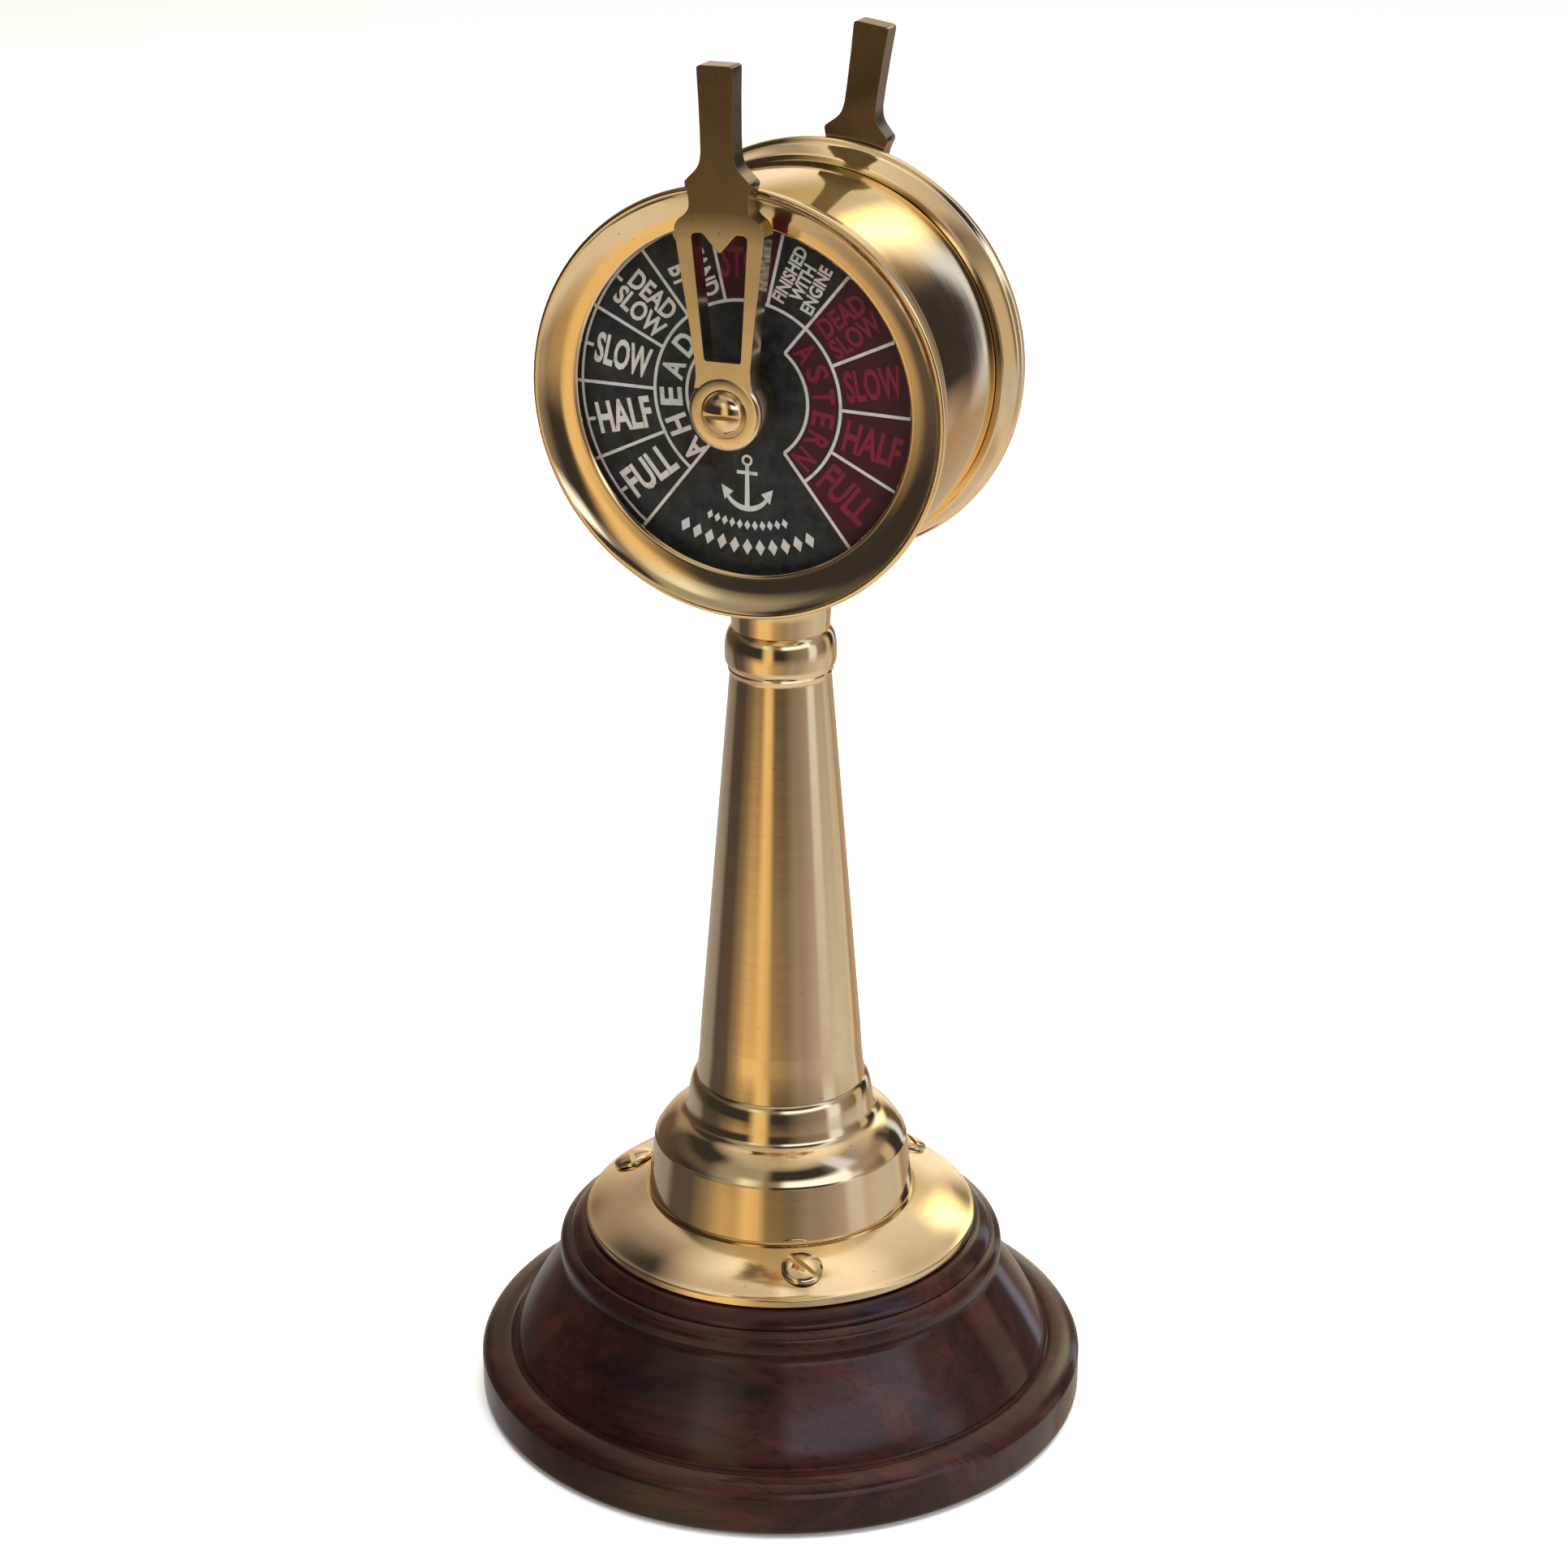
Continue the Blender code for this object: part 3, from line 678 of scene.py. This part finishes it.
def barrel_profile():
    """Open barrel, slightly crowned, with a step at each end for the bezel."""
    half, wall = -BARREL_LOW[1], BARREL_HIGH[0]
    swell = eased([(wall - 0.4, 10.9), (wall - 0.12, 6.0), (wall, 0.0), (wall - 0.12, -6.0),
                   (wall - 0.4, -10.9)], 8)
    step = half - 2.2
    end = [(29.4, step), (29.4, half), (30.2, half), (30.2, 11.6), (wall - 0.5, 11.6)]
    return (end + swell + [(radius, -along) for radius, along in reversed(end)]
            + [(28.6, -step), (28.6, step)])


def bezel_profile():
    """Dished face, rounded lip and a neck that slides over the barrel."""
    seat = DIAL_FACE + 0.3
    dish = eased([(27.3, 15.55), (27.6, 15.82), (28.1, 15.9), (29.6, 16.2), (31.2, 16.8), (32.1, 17.3),
                  (32.65, 17.75)], 6)
    lip = eased([(32.8, 17.95), (33.05, HEAD_HALF), (33.4, 17.9), (33.6, 17.5), (33.55, 17.05)], 5)
    neck = eased([(33.3, 16.75), (32.85, 16.25), (32.6, 15.5), (32.25, 13.9), (31.95, 12.3)], 5)
    inner = [(31.8, 11.9), (30.5, 11.9), (30.5, seat), (28.2, seat), (28.2, 15.1), (27.3, 15.1), (27.2, 15.2),
             (27.2, 15.4)]
    return dish + lip + neck + inner


class TELEGRAPH_OT_drum(bpy.types.Operator):
    """Drum barrel with its two dished bezels"""
    bl_idname = "telegraph.drum"
    bl_label = "Drum head"

    def execute(self, context):
        turned_piece("barrel_shell", barrel_profile(), "drum_barrel", "head", 192, matrix=head_place(1))
        for word, side in SIDES:
            turned_piece(word + "_bezel_ring", bezel_profile(), word + "_bezel", "head", 192,
                         matrix=head_place(side))
        return {"FINISHED"}


# ---------------------------------------------------------------- dial print

PRINT_BASE = DIAL_FACE + 0.01
GROUND_SHARE = 0.4
LEFT_ORDERS = ("FULL", "HALF", "SLOW", "DEAD\nSLOW", "STAND\nBY")
RIGHT_ORDERS = ("FINISHED\nWITH\nENGINE", "DEAD\nSLOW", "SLOW", "HALF", "FULL")
RING_OUTER = 28.1
RING_INNER = 15.2
LABEL_INNER = 9.9
ANCHOR_CENTRE = -13.9


def clock_way(degrees):
    """Direction on the dial, in degrees clockwise from the top."""
    angle = math.radians(degrees)
    return Vector((math.sin(angle), math.cos(angle)))


def sector_loop(inner, outer, start, end, count=24):
    """Outline of a ring sector between two angles."""
    steps = [start + (end - start) * step / count for step in range(count + 1)]
    return ([tuple(clock_way(degrees) * outer) for degrees in steps]
            + [tuple(clock_way(degrees) * inner) for degrees in reversed(steps)])


def add_flat(target, loops, height):
    pour(target, flat_shape(loops, PRINT_BASE, PRINT_BASE + height))


def add_arc(target, radius, width, start, end, height):
    """Printed line along the ring."""
    count = max(6, int(abs(end - start) / 3.0))
    add_flat(target, [sector_loop(radius - width / 2.0, radius + width / 2.0, start, end, count)], height)


def add_ray(target, inner, outer, degrees, width, height):
    """Printed line across the ring."""
    along = clock_way(degrees)
    across = Vector((along.y, -along.x)) * (width / 2.0)
    corners = [along * inner - across, along * outer - across, along * outer + across, along * inner + across]
    add_flat(target, [[tuple(corner) for corner in corners]], height)


def add_words(target, words, wide, high, radius, degrees, turn, height, base=0.0):
    """Set words in a box of the given width and height at a radius and angle, turned on the spot."""
    data = bpy.data.curves.new("words", "FONT")
    data.body = words
    data.align_x = "CENTER"
    data.align_y = "CENTER"
    data.space_line = 0.82
    data.offset = 0.03
    data.resolution_u = 3
    item = bpy.data.objects.new("words", data)
    bpy.context.scene.collection.objects.link(item)
    bpy.context.view_layer.update()
    letters = bmesh.new()
    pour_evaluated(letters, item)
    bpy.data.objects.remove(item, do_unlink=True)
    bpy.data.curves.remove(data)
    bmesh.ops.remove_doubles(letters, verts=letters.verts, dist=1e-5)
    low, top = (Vector([pick(vert.co[side] for vert in letters.verts) for side in (0, 1)] + [0.0])
                for pick in (min, max))
    size = top - low
    bmesh.ops.translate(letters, verts=letters.verts, vec=-(low + top) / 2.0)
    bmesh.ops.scale(letters, verts=letters.verts, vec=(wide * MM / size.x, high * MM / size.y, 1.0))
    grown = bmesh.ops.extrude_face_region(letters, geom=list(letters.faces))
    moved = [part for part in grown["geom"] if isinstance(part, bmesh.types.BMVert)]
    bmesh.ops.translate(letters, verts=moved, vec=(0.0, 0.0, height * MM))
    bmesh.ops.recalc_face_normals(letters, faces=letters.faces)
    spot = Vector((*(clock_way(degrees) * radius), PRINT_BASE + base)) * MM
    pour(target, letters, Matrix.Translation(spot) @ Matrix.Rotation(math.radians(turn), 4, "Z"))


def anchor(target, height):
    """Plain anchor: ring, stock, shank, curved arms and two flukes."""
    middle = ANCHOR_CENTRE
    top = middle + 4.2

    def circle(radius):
        return [(radius * math.cos(step * math.tau / 24), top + radius * math.sin(step * math.tau / 24))
                for step in range(24)]

    add_flat(target, [circle(0.9), circle(0.52)], height)
    shank = [(-0.3, top - 0.85), (0.3, top - 0.85), (0.4, middle - 3.3), (-0.4, middle - 3.3)]
    stock = [(-1.7, top - 1.7), (1.7, top - 1.7), (1.7, top - 2.25), (-1.7, top - 2.25)]
    add_flat(target, [shank], height)
    add_flat(target, [stock], height * 0.98)
    sweep = range(-66, 67, 6)
    outer = [(3.9 * math.sin(math.radians(a)), middle - 3.9 * math.cos(math.radians(a))) for a in sweep]
    inner = [(3.75 * math.sin(math.radians(a)), middle + 0.6 - 3.65 * math.cos(math.radians(a)))
             for a in reversed(sweep)]
    add_flat(target, [outer + inner], height * 0.96)
    for side in (-1.0, 1.0):
        fluke = [(side * 4.25, middle), (side * 2.3, middle - 0.95), (side * 3.75, middle - 2.4)]
        add_flat(target, [fluke], height * 0.94)


def dial_print(white, red, ground, sizes):
    """Order ring of eleven sectors, ahead on the left in white, astern on the right in red.

    Lines that cross stand a little lower than the ones before them, so that no two faces coincide.
    """
    height = sizes.print_height
    low = height * GROUND_SHARE
    letter = sizes.order_letter
    line = sizes.print_line
    half = ORDER_STEP / 2.0
    limit = ORDER_STEP * ORDERS / 2.0
    middle = (RING_INNER + RING_OUTER) / 2.0 - 0.7
    add_arc(white, 27.35, line * 0.8, -limit, -half, height)
    add_arc(white, RING_INNER, line, -limit, limit, height)
    for start, end in ((-limit, -3.0 * half), (3.0 * half, limit)):
        add_arc(white, LABEL_INNER, line, start, end, height)
        for degrees in (start, end):
            add_ray(white, LABEL_INNER, RING_INNER, degrees, line, height * 0.98)
    for number in range(ORDERS + 1):
        add_ray(white, RING_INNER, RING_OUTER, -limit + number * ORDER_STEP, line, height * 0.96)
    for number in [ORDERS // 2] + list(range(ORDERS // 2 + 2, ORDERS)):
        start = -limit + number * ORDER_STEP
        add_flat(ground, [sector_loop(RING_INNER + 0.45, RING_OUTER, start + 1.1, start + ORDER_STEP - 1.1)],
                 low)
    add_flat(ground, [sector_loop(LABEL_INNER + 0.5, RING_INNER - 0.5, 3.0 * half + 2.5, limit - 2.5)], low)
    for orders, first, lean in ((LEFT_ORDERS, -limit, -90.0), (RIGHT_ORDERS, half, 90.0)):
        for number, words in enumerate(orders):
            degrees = first + (number + 0.5) * ORDER_STEP
            lines = words.count("\n") + 1
            target = red if lean > 0.0 and lines < 3 and number else white
            lift = low if target is red else 0.0
            high = letter if lines == 1 else letter * 1.38
            add_words(target, words, 9.3, high, middle, degrees, lean - degrees, height, lift)
            if lean < 0.0:
                add_ray(white, 26.0, 27.4, degrees, line * 1.1, height * 0.9)
    add_words(red, "STOP", 8.2, letter, middle, 0.0, 0.0, height, low)
    for word, target, centre in (("AHEAD", white, -94.5), ("ASTERN", red, 90.5)):
        for number, initial in enumerate(word):
            share = number / (len(word) - 1) - 0.5
            degrees = centre + 82.0 * share
            add_words(target, initial, 2.9 if len(word) < 6 else 2.4, 3.7, (LABEL_INNER + RING_INNER) / 2.0,
                      degrees, -degrees, height, low if target is red else 0.0)
    anchor(white, height)
    count = 11
    for radius, reach, tall, broad in ((20.0, 18.0, 0.8, 0.5), (23.5, 26.0, 1.3, 0.8)):
        for number in range(count):
            out = clock_way(180.0 - reach + 2.0 * reach * number / (count - 1))
            side = Vector((out.y, -out.x))
            shape = [out * radius + side * broad, out * (radius + tall), out * radius - side * broad,
                     out * (radius - tall)]
            add_flat(white, [[tuple(point) for point in shape]], height)


class TELEGRAPH_OT_dials(bpy.types.Operator):
    """Black dials with their printed orders"""
    bl_idname = "telegraph.dials"
    bl_label = "Dials"

    def execute(self, context):
        sizes = context.scene.telegraph_sizes
        back = DIAL_FACE - 0.45
        for word, side in SIDES:
            face = softened([(SPINDLE_HOLE, DIAL_FACE), (28.95, DIAL_FACE, 0.1), (28.95, back),
                             (SPINDLE_HOLE, back)])
            finish_piece(word + "_dial_disc", spin_profile(face, steps=128), head_place(side), FINISH["dial"],
                         STAND, [word + "_dial"])
            white, red, ground = bmesh.new(), bmesh.new(), bmesh.new()
            dial_print(white, red, ground, sizes)
            for part, shape, finish in (("white_print", white, "white"), ("red_print", red, "red"),
                                        ("red_ground", ground, "maroon")):
                finish_piece(word + "_" + part, shape, head_place(side), FINISH[finish], STAND)
        return {"FINISHED"}


def lever_half():
    """Right half of the lever's outer edge from the hub up to the tip of the grip."""
    reach = CAD_BOX[1][2] / MM - HEAD_AXIS - TIP_CLEARANCE
    root = [(4.75, 3.6), (4.45, 5.2)]
    waist = eased([(4.45, 7.0), (4.8, 10.0), (5.45, 15.0), (6.2, 20.0), (6.85, 25.0), (7.15, 27.0),
                   (7.05, 28.1), (6.45, 29.0), (5.55, 29.7), (4.85, 30.6), (4.7, 31.6)], 4)
    shoulder = eased([(4.75, 32.4), (5.05, 33.6), (5.3, 34.4), (5.1, 34.9), (4.4, 35.6), (3.5, 36.5),
                      (2.9, 37.5), (2.6, 39.0)], 4)
    grip = eased([(2.6, 42.0), (2.7, 47.0), (2.85, reach - 0.8), (2.7, reach - 0.2), (2.2, reach)], 4)
    return root + waist + shoulder + grip


def mirrored_loop(half):
    """Closed outline from its right half."""
    return half + [(-across, along) for across, along in reversed(half)]


def lever_shape(sizes):
    """Cast lever: hub, two arms round an open window, V pointer, pointed shoulders and flat grip."""
    whole = bmesh.new()
    window = [(-2.75, 7.9), (2.75, 7.9), (2.95, 8.2), (4.45, 26.4), (4.35, 26.9), (3.9, 27.15), (2.85, 27.2),
              (2.4, 26.9), (0.3, 24.5), (0.0, 24.35), (-0.3, 24.5), (-2.4, 26.9), (-2.85, 27.2),
              (-3.9, 27.15), (-4.35, 26.9), (-4.45, 26.4), (-2.95, 8.2)]
    plate = flat_shape([mirrored_loop(lever_half()), window], LEVER_BACK, LEVER_BACK + sizes.lever_thickness)
    round_rims(plate, sizes.lever_edge, 4)
    pour(whole, plate)

    top = LEVER_BACK + LEVER_RISE
    bore, rim = 2.5, 5.9
    face = softened([(bore, top - 0.3), (3.4, top - 0.3, 0.1), (3.7, top - 0.02, 0.3), (rim, top - 0.05, 0.9),
                     (rim, LEVER_BACK, 0.3), (bore, LEVER_BACK)])
    pour(whole, spin_profile(face, steps=96))
    return whole


class TELEGRAPH_OT_levers(bpy.types.Operator):
    """Front and rear levers"""
    bl_idname = "telegraph.levers"
    bl_label = "Levers"

    def execute(self, context):
        sizes = context.scene.telegraph_sizes
        for word, side in SIDES:
            finish_piece(word + "_cast_lever", lever_shape(sizes), head_place(side, LEVER_LEAN[word]),
                         FINISH["lever"], word + "_lever", [word + "_lever"], 28.0)
        return {"FINISHED"}


SCREW_LEAN = 20.5
SCREW_OUT = 5.05
SCREW_DROP = 0.36


def screw_shape(radius, rise, base, shank, end, slot_width, slot_depth):
    """Round-headed slotted screw standing on its seat."""
    crown = [(radius * math.sin(math.radians(a)), base + rise * (0.2 + 0.8 * math.cos(math.radians(a))))
             for a in range(0, 91, 9)]
    profile = crown + [(radius, base), (shank, base), (shank, end + 0.8), (0.0, end)]
    head = spin_profile(profile, closed=False, steps=64)
    slot = block((radius * 2.6, slot_width, 3.0), (0.0, 0.0, base + rise - slot_depth + 1.5))
    return carve(head, slot)


class TELEGRAPH_OT_screws(bpy.types.Operator):
    """Slotted screws in the base plate and in both lever hubs, and the hub spacers"""
    bl_idname = "telegraph.screws"
    bl_label = "Screws"

    def execute(self, context):
        width = context.scene.telegraph_sizes.slot_width
        lean = math.radians(SCREW_LEAN)
        out = FOOT_HIGH[0] + SCREW_OUT
        seat = PLATE_HIGH[2] - SCREW_DROP * (PLATE_HIGH[2] - PLATE_LOW[2] - PLATE_RIM)
        for number in (1, 2, 3):
            azimuth = math.radians(120.0 * number - 180.0)
            shape = screw_shape(radius=3.4, rise=1.35, base=0.05, shank=1.6, end=-8.6, slot_width=width,
                                slot_depth=0.7)
            place = (Matrix.Rotation(azimuth, 4, "Z") @ Matrix.Translation(Vector((out, 0.0, seat)) * MM)
                     @ Matrix.Rotation(lean, 4, "Y") @ Matrix.Rotation(math.radians(40.0 * number), 4, "Z"))
            finish_piece("plate_fixing_%d" % number, shape, place, FINISH["brass"], STAND,
                         ["plate_screw_%d" % number], 30.0)
        base = LEVER_BACK + LEVER_RISE - SOLID_GAP
        for word, side in SIDES:
            shape = screw_shape(radius=3.2, rise=2.1, base=base, shank=1.15, end=15.9, slot_width=width,
                                slot_depth=1.0)
            finish_piece(word + "_hub_screw", shape, head_place(side), FINISH["head"], STAND,
                         [word + "_lever_screw"], 30.0)
            ring = softened([(SPINDLE_HOLE, LEVER_BACK - 0.05), (5.0, LEVER_BACK - 0.05, 0.4),
                             (5.0, DIAL_FACE + 0.3, 0.2), (SPINDLE_HOLE, DIAL_FACE + 0.3)])
            turned_piece(word + "_spacer_ring", ring, word + "_hub_spacer", "head", 64,
                         matrix=head_place(side))
        return {"FINISHED"}


class TELEGRAPH_OT_inner_parts(bpy.types.Operator):
    """Finishes for the pieces that keep their plain solids"""
    bl_idname = "telegraph.inner_parts"
    bl_label = "Inner parts"

    def execute(self, context):
        chosen = {"felt_pad": "felt", "tie_rod": "steel", "rod_washer": "steel", "rod_nut": "steel",
                  "saddle_screw_1": "steel", "saddle_screw_2": "steel", "cross_spindle": "steel",
                  "front_bearing_plate": "plate", "rear_bearing_plate": "plate"}
        for node, finish in chosen.items():
            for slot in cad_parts[node].material_slots:
                slot.material = FINISH[finish]
        return {"FINISHED"}


# ---------------------------------------------------------------- studio

CAMERA_YAW = 22.738
CAMERA_DOWN = 22.345
CAMERA_OUT = 10.8723
CAMERA_UP = 6.6174
CAMERA_LENS = 85.36
CAMERA_SHIFT = 0.0021
STUDIO_TURN = 22.7


def studio_world():
    """Room round the object: bands of warm table, dark room, windows and pale ceiling."""
    world = bpy.data.worlds.new("studio")
    bpy.context.scene.world = world
    world.use_nodes = True
    tree = world.node_tree
    point = add_node(tree, "ShaderNodeTexCoord").outputs["Generated"]
    turned = mapped(tree, point, rotation=(0.0, 0.0, math.radians(-STUDIO_TURN)))
    split = add_node(tree, "ShaderNodeSeparateXYZ")
    tree.links.new(turned, split.inputs["Vector"])
    azimuth = sums(tree, "ARCTAN2", split.outputs["X"], sums(tree, "MULTIPLY", split.outputs["Y"], -1.0))
    share = sums(tree, "ADD", sums(tree, "MULTIPLY", azimuth, 1.0 / math.tau), 0.5)

    def band(*stops):
        return ramp(tree, [(degrees / 360.0 + 0.5, colour) for degrees, colour in stops], share)

    dark = (0.04, 0.035, 0.035)
    brown = (0.16, 0.10, 0.07)
    amber = (0.92, 0.64, 0.30)
    straw = (0.78, 0.68, 0.56)
    cream = (1.15, 0.98, 0.78)
    cool = (0.80, 0.88, 1.05)
    white = (1.45, 1.50, 1.60)
    floor = band((-180.0, straw), (-120.0, (0.46, 0.37, 0.28)), (-80.0, (0.46, 0.37, 0.28)),
                 (-40.0, straw), (60.0, straw), (180.0, straw))
    table = band((-180.0, (0.50, 0.45, 0.40)), (-140.0, (0.36, 0.33, 0.32)), (-118.0, (0.30, 0.27, 0.25)),
                 (-108.0, (0.10, 0.08, 0.08)), (-84.0, (0.12, 0.09, 0.08)), (-66.0, (0.42, 0.30, 0.18)),
                 (-52.0, amber), (-30.0, amber), (-14.0, (0.50, 0.35, 0.18)), (10.0, (0.33, 0.26, 0.17)),
                 (24.0, (0.42, 0.34, 0.29)), (34.0, (0.38, 0.31, 0.29)), (62.0, (0.56, 0.48, 0.42)),
                 (90.0, (0.66, 0.62, 0.54)), (118.0, (0.58, 0.55, 0.50)), (127.0, (0.70, 0.62, 0.52)),
                 (134.0, (0.42, 0.29, 0.19)), (155.0, (0.50, 0.38, 0.27)), (180.0, (0.50, 0.45, 0.40)))
    room = band((-180.0, cream), (-162.0, (0.60, 0.46, 0.32)), (-150.0, brown), (-95.0, dark), (-40.0, dark),
                (-30.0, amber), (-20.0, amber), (-12.0, dark), (6.0, dark), (24.0, (0.20, 0.16, 0.13)),
                (56.0, (0.32, 0.26, 0.22)), (62.0, (0.9, 0.95, 1.05)), (74.0, (0.9, 0.95, 1.05)),
                (80.0, (0.34, 0.28, 0.24)), (104.0, (0.20, 0.15, 0.11)), (108.0, (0.62, 0.50, 0.36)),
                (118.0, (0.62, 0.50, 0.36)), (122.0, dark), (136.0, dark),
                (139.0, cool), (143.0, cool), (147.0, brown), (155.0, brown), (163.0, cream), (180.0, cream))
    windows = band((-180.0, (0.50, 0.38, 0.20)), (-168.0, (0.38, 0.31, 0.24)), (-140.0, (0.34, 0.26, 0.18)),
                   (-128.0, (0.10, 0.08, 0.06)), (-74.0, (0.12, 0.10, 0.09)), (-58.0, (0.34, 0.31, 0.24)),
                   (-44.0, (0.44, 0.40, 0.30)), (-34.0, (1.05, 1.05, 0.85)), (-24.0, (0.80, 0.74, 0.60)),
                   (-14.0, (0.30, 0.22, 0.18)), (-2.0, (0.30, 0.26, 0.22)), (6.0, white), (64.0, white),
                   (72.0, (0.42, 0.36, 0.30)), (118.0, (0.30, 0.24, 0.18)), (128.0, dark),
                   (136.0, (0.4, 0.3, 0.2)), (141.0, cream), (148.0, (2.6, 2.4, 1.5)),
                   (154.0, (2.2, 1.9, 1.0)),
                   (160.0, (0.72, 0.62, 0.46)), (170.0, (0.60, 0.46, 0.24)), (180.0, (0.50, 0.38, 0.20)))
    ceiling = band((-180.0, (0.9, 0.8, 0.65)), (-150.0, (0.40, 0.32, 0.24)), (-128.0, dark), (-80.0, dark),
                   (-62.0, (0.34, 0.31, 0.24)), (-20.0, (0.40, 0.36, 0.26)), (-8.0, dark), (46.0, dark),
                   (58.0, (0.16, 0.15, 0.18)), (64.0, (0.8, 0.85, 1.15)), (78.0, (0.8, 0.85, 1.15)),
                   (88.0, (0.34, 0.30, 0.28)), (140.0, (0.7, 0.6, 0.48)), (180.0, (0.9, 0.8, 0.65)))
    zenith = band((-180.0, (1.35, 1.18, 0.95)), (-110.0, (0.62, 0.52, 0.40)), (0.0, (0.50, 0.44, 0.34)),
                  (90.0, (0.95, 0.86, 0.74)), (180.0, (1.35, 1.18, 0.95)))
    mixed = floor
    for upper, low, high in ((table, -0.70, -0.50), (room, -0.34, -0.16), (windows, 0.22, 0.40),
                             (ceiling, 0.50, 0.62), (zenith, 0.80, 0.92)):
        rise = spread(tree, split.outputs["Z"], 0.0, 1.0, low, high)
        mixed = blend_colours(tree, "MIX", rise, mixed, upper)
    plain = add_node(tree, "ShaderNodeMix", data_type="RGBA")
    tree.links.new(add_node(tree, "ShaderNodeLightPath").outputs["Is Camera Ray"], plain.inputs["Factor"])
    tree.links.new(mixed, plain.inputs["A"])
    put(plain, "B", (0.80, 0.80, 0.80, 1.0))
    back = tree.nodes["Background"]
    tree.links.new(plain.outputs["Result"], back.inputs["Color"])
    put(back, "Strength", 1.0)


def softbox(name, spot, target, size, power):
    """Area light that brass does not show."""
    data = bpy.data.lights.new(name, "AREA")
    data.shape = "RECTANGLE"
    data.size = size[0]
    data.size_y = size[1]
    data.energy = power
    item = bpy.data.objects.new(name, data)
    bpy.context.scene.collection.objects.link(item)
    item.location = spot
    item.rotation_euler = (Vector(target) - Vector(spot)).to_track_quat("-Z", "Y").to_euler()
    item.visible_glossy = False


class TELEGRAPH_OT_stage(bpy.types.Operator):
    """Pale floor, soft studio light and the camera"""
    bl_idname = "telegraph.stage"
    bl_label = "Stage"

    def execute(self, context):
        shape = bmesh.new()
        bmesh.ops.create_grid(shape, x_segments=1, y_segments=1, size=6.0)
        mesh = bpy.data.meshes.new("floor")
        shape.to_mesh(mesh)
        shape.free()
        floor = bpy.data.objects.new("floor", mesh)
        context.scene.collection.objects.link(floor)
        made, _, shader, _ = new_finish("pale_floor")
        put(shader, "Base Color", (0.93, 0.93, 0.93, 1.0))
        put(shader, "Roughness", 0.9)
        put(shader, "Specular IOR Level", 0.1)
        mesh.materials.append(made)
        floor.visible_glossy = False

        studio_world()
        softbox("top_box", (0.1, 0.15, 1.3), (0.0, 0.0, 0.1), (1.6, 1.6), 30.0)
        softbox("right_box", (0.95, -0.75, 0.75), (0.0, 0.0, 0.12), (0.5, 0.7), 9.0)
        softbox("left_box", (-0.9, -0.8, 0.6), (0.0, 0.0, 0.12), (0.6, 0.6), 5.0)

        reach = WOOD_HIGH[0] * MM
        yaw = math.radians(CAMERA_YAW)
        data = bpy.data.cameras.new("camera")
        data.sensor_width = 36.0
        data.lens = CAMERA_LENS
        data.clip_start = 0.01
        data.shift_x = CAMERA_SHIFT
        camera = bpy.data.objects.new("camera", data)
        context.scene.collection.objects.link(camera)
        out = CAMERA_OUT * reach
        camera.location = (out * math.sin(yaw), -out * math.cos(yaw), CAMERA_UP * reach)
        camera.rotation_euler = (math.radians(90.0 - CAMERA_DOWN), 0.0, yaw)
        context.scene.camera = camera
        context.scene.view_settings.view_transform = "Standard"
        return {"FINISHED"}


class TELEGRAPH_PT_panel(bpy.types.Panel):
    bl_label = "Engine telegraph"
    bl_idname = "TELEGRAPH_PT_panel"
    bl_space_type = "VIEW_3D"
    bl_region_type = "UI"
    bl_category = "Telegraph"

    def draw(self, context):
        column = self.layout.column()
        for group in (context.scene.telegraph_sizes, context.scene.telegraph_colours):
            for name in group.bl_rna.properties.keys():
                if name not in ("rna_type", "name"):
                    column.prop(group, name)
        for step in STEPS:
            column.operator(step.bl_idname)


STEPS = (TELEGRAPH_OT_wood_base, TELEGRAPH_OT_pedestal, TELEGRAPH_OT_drum, TELEGRAPH_OT_dials,
         TELEGRAPH_OT_levers, TELEGRAPH_OT_screws, TELEGRAPH_OT_inner_parts, TELEGRAPH_OT_stage)
CLASSES = (TelegraphSizes, TelegraphColours) + STEPS + (TELEGRAPH_PT_panel,)


def register():
    for item in CLASSES:
        bpy.utils.register_class(item)
    bpy.types.Scene.telegraph_sizes = PointerProperty(type=TelegraphSizes)
    bpy.types.Scene.telegraph_colours = PointerProperty(type=TelegraphColours)


def unregister():
    del bpy.types.Scene.telegraph_colours
    del bpy.types.Scene.telegraph_sizes
    for item in reversed(CLASSES):
        bpy.utils.unregister_class(item)


def main():
    register()
    prepare_finishes(bpy.context.scene.telegraph_colours)
    bpy.ops.telegraph.wood_base()
    bpy.ops.telegraph.pedestal()
    bpy.ops.telegraph.drum()
    bpy.ops.telegraph.dials()
    bpy.ops.telegraph.levers()
    bpy.ops.telegraph.screws()
    bpy.ops.telegraph.inner_parts()
    bpy.ops.telegraph.stage()


if __name__ == "__main__":
    main()
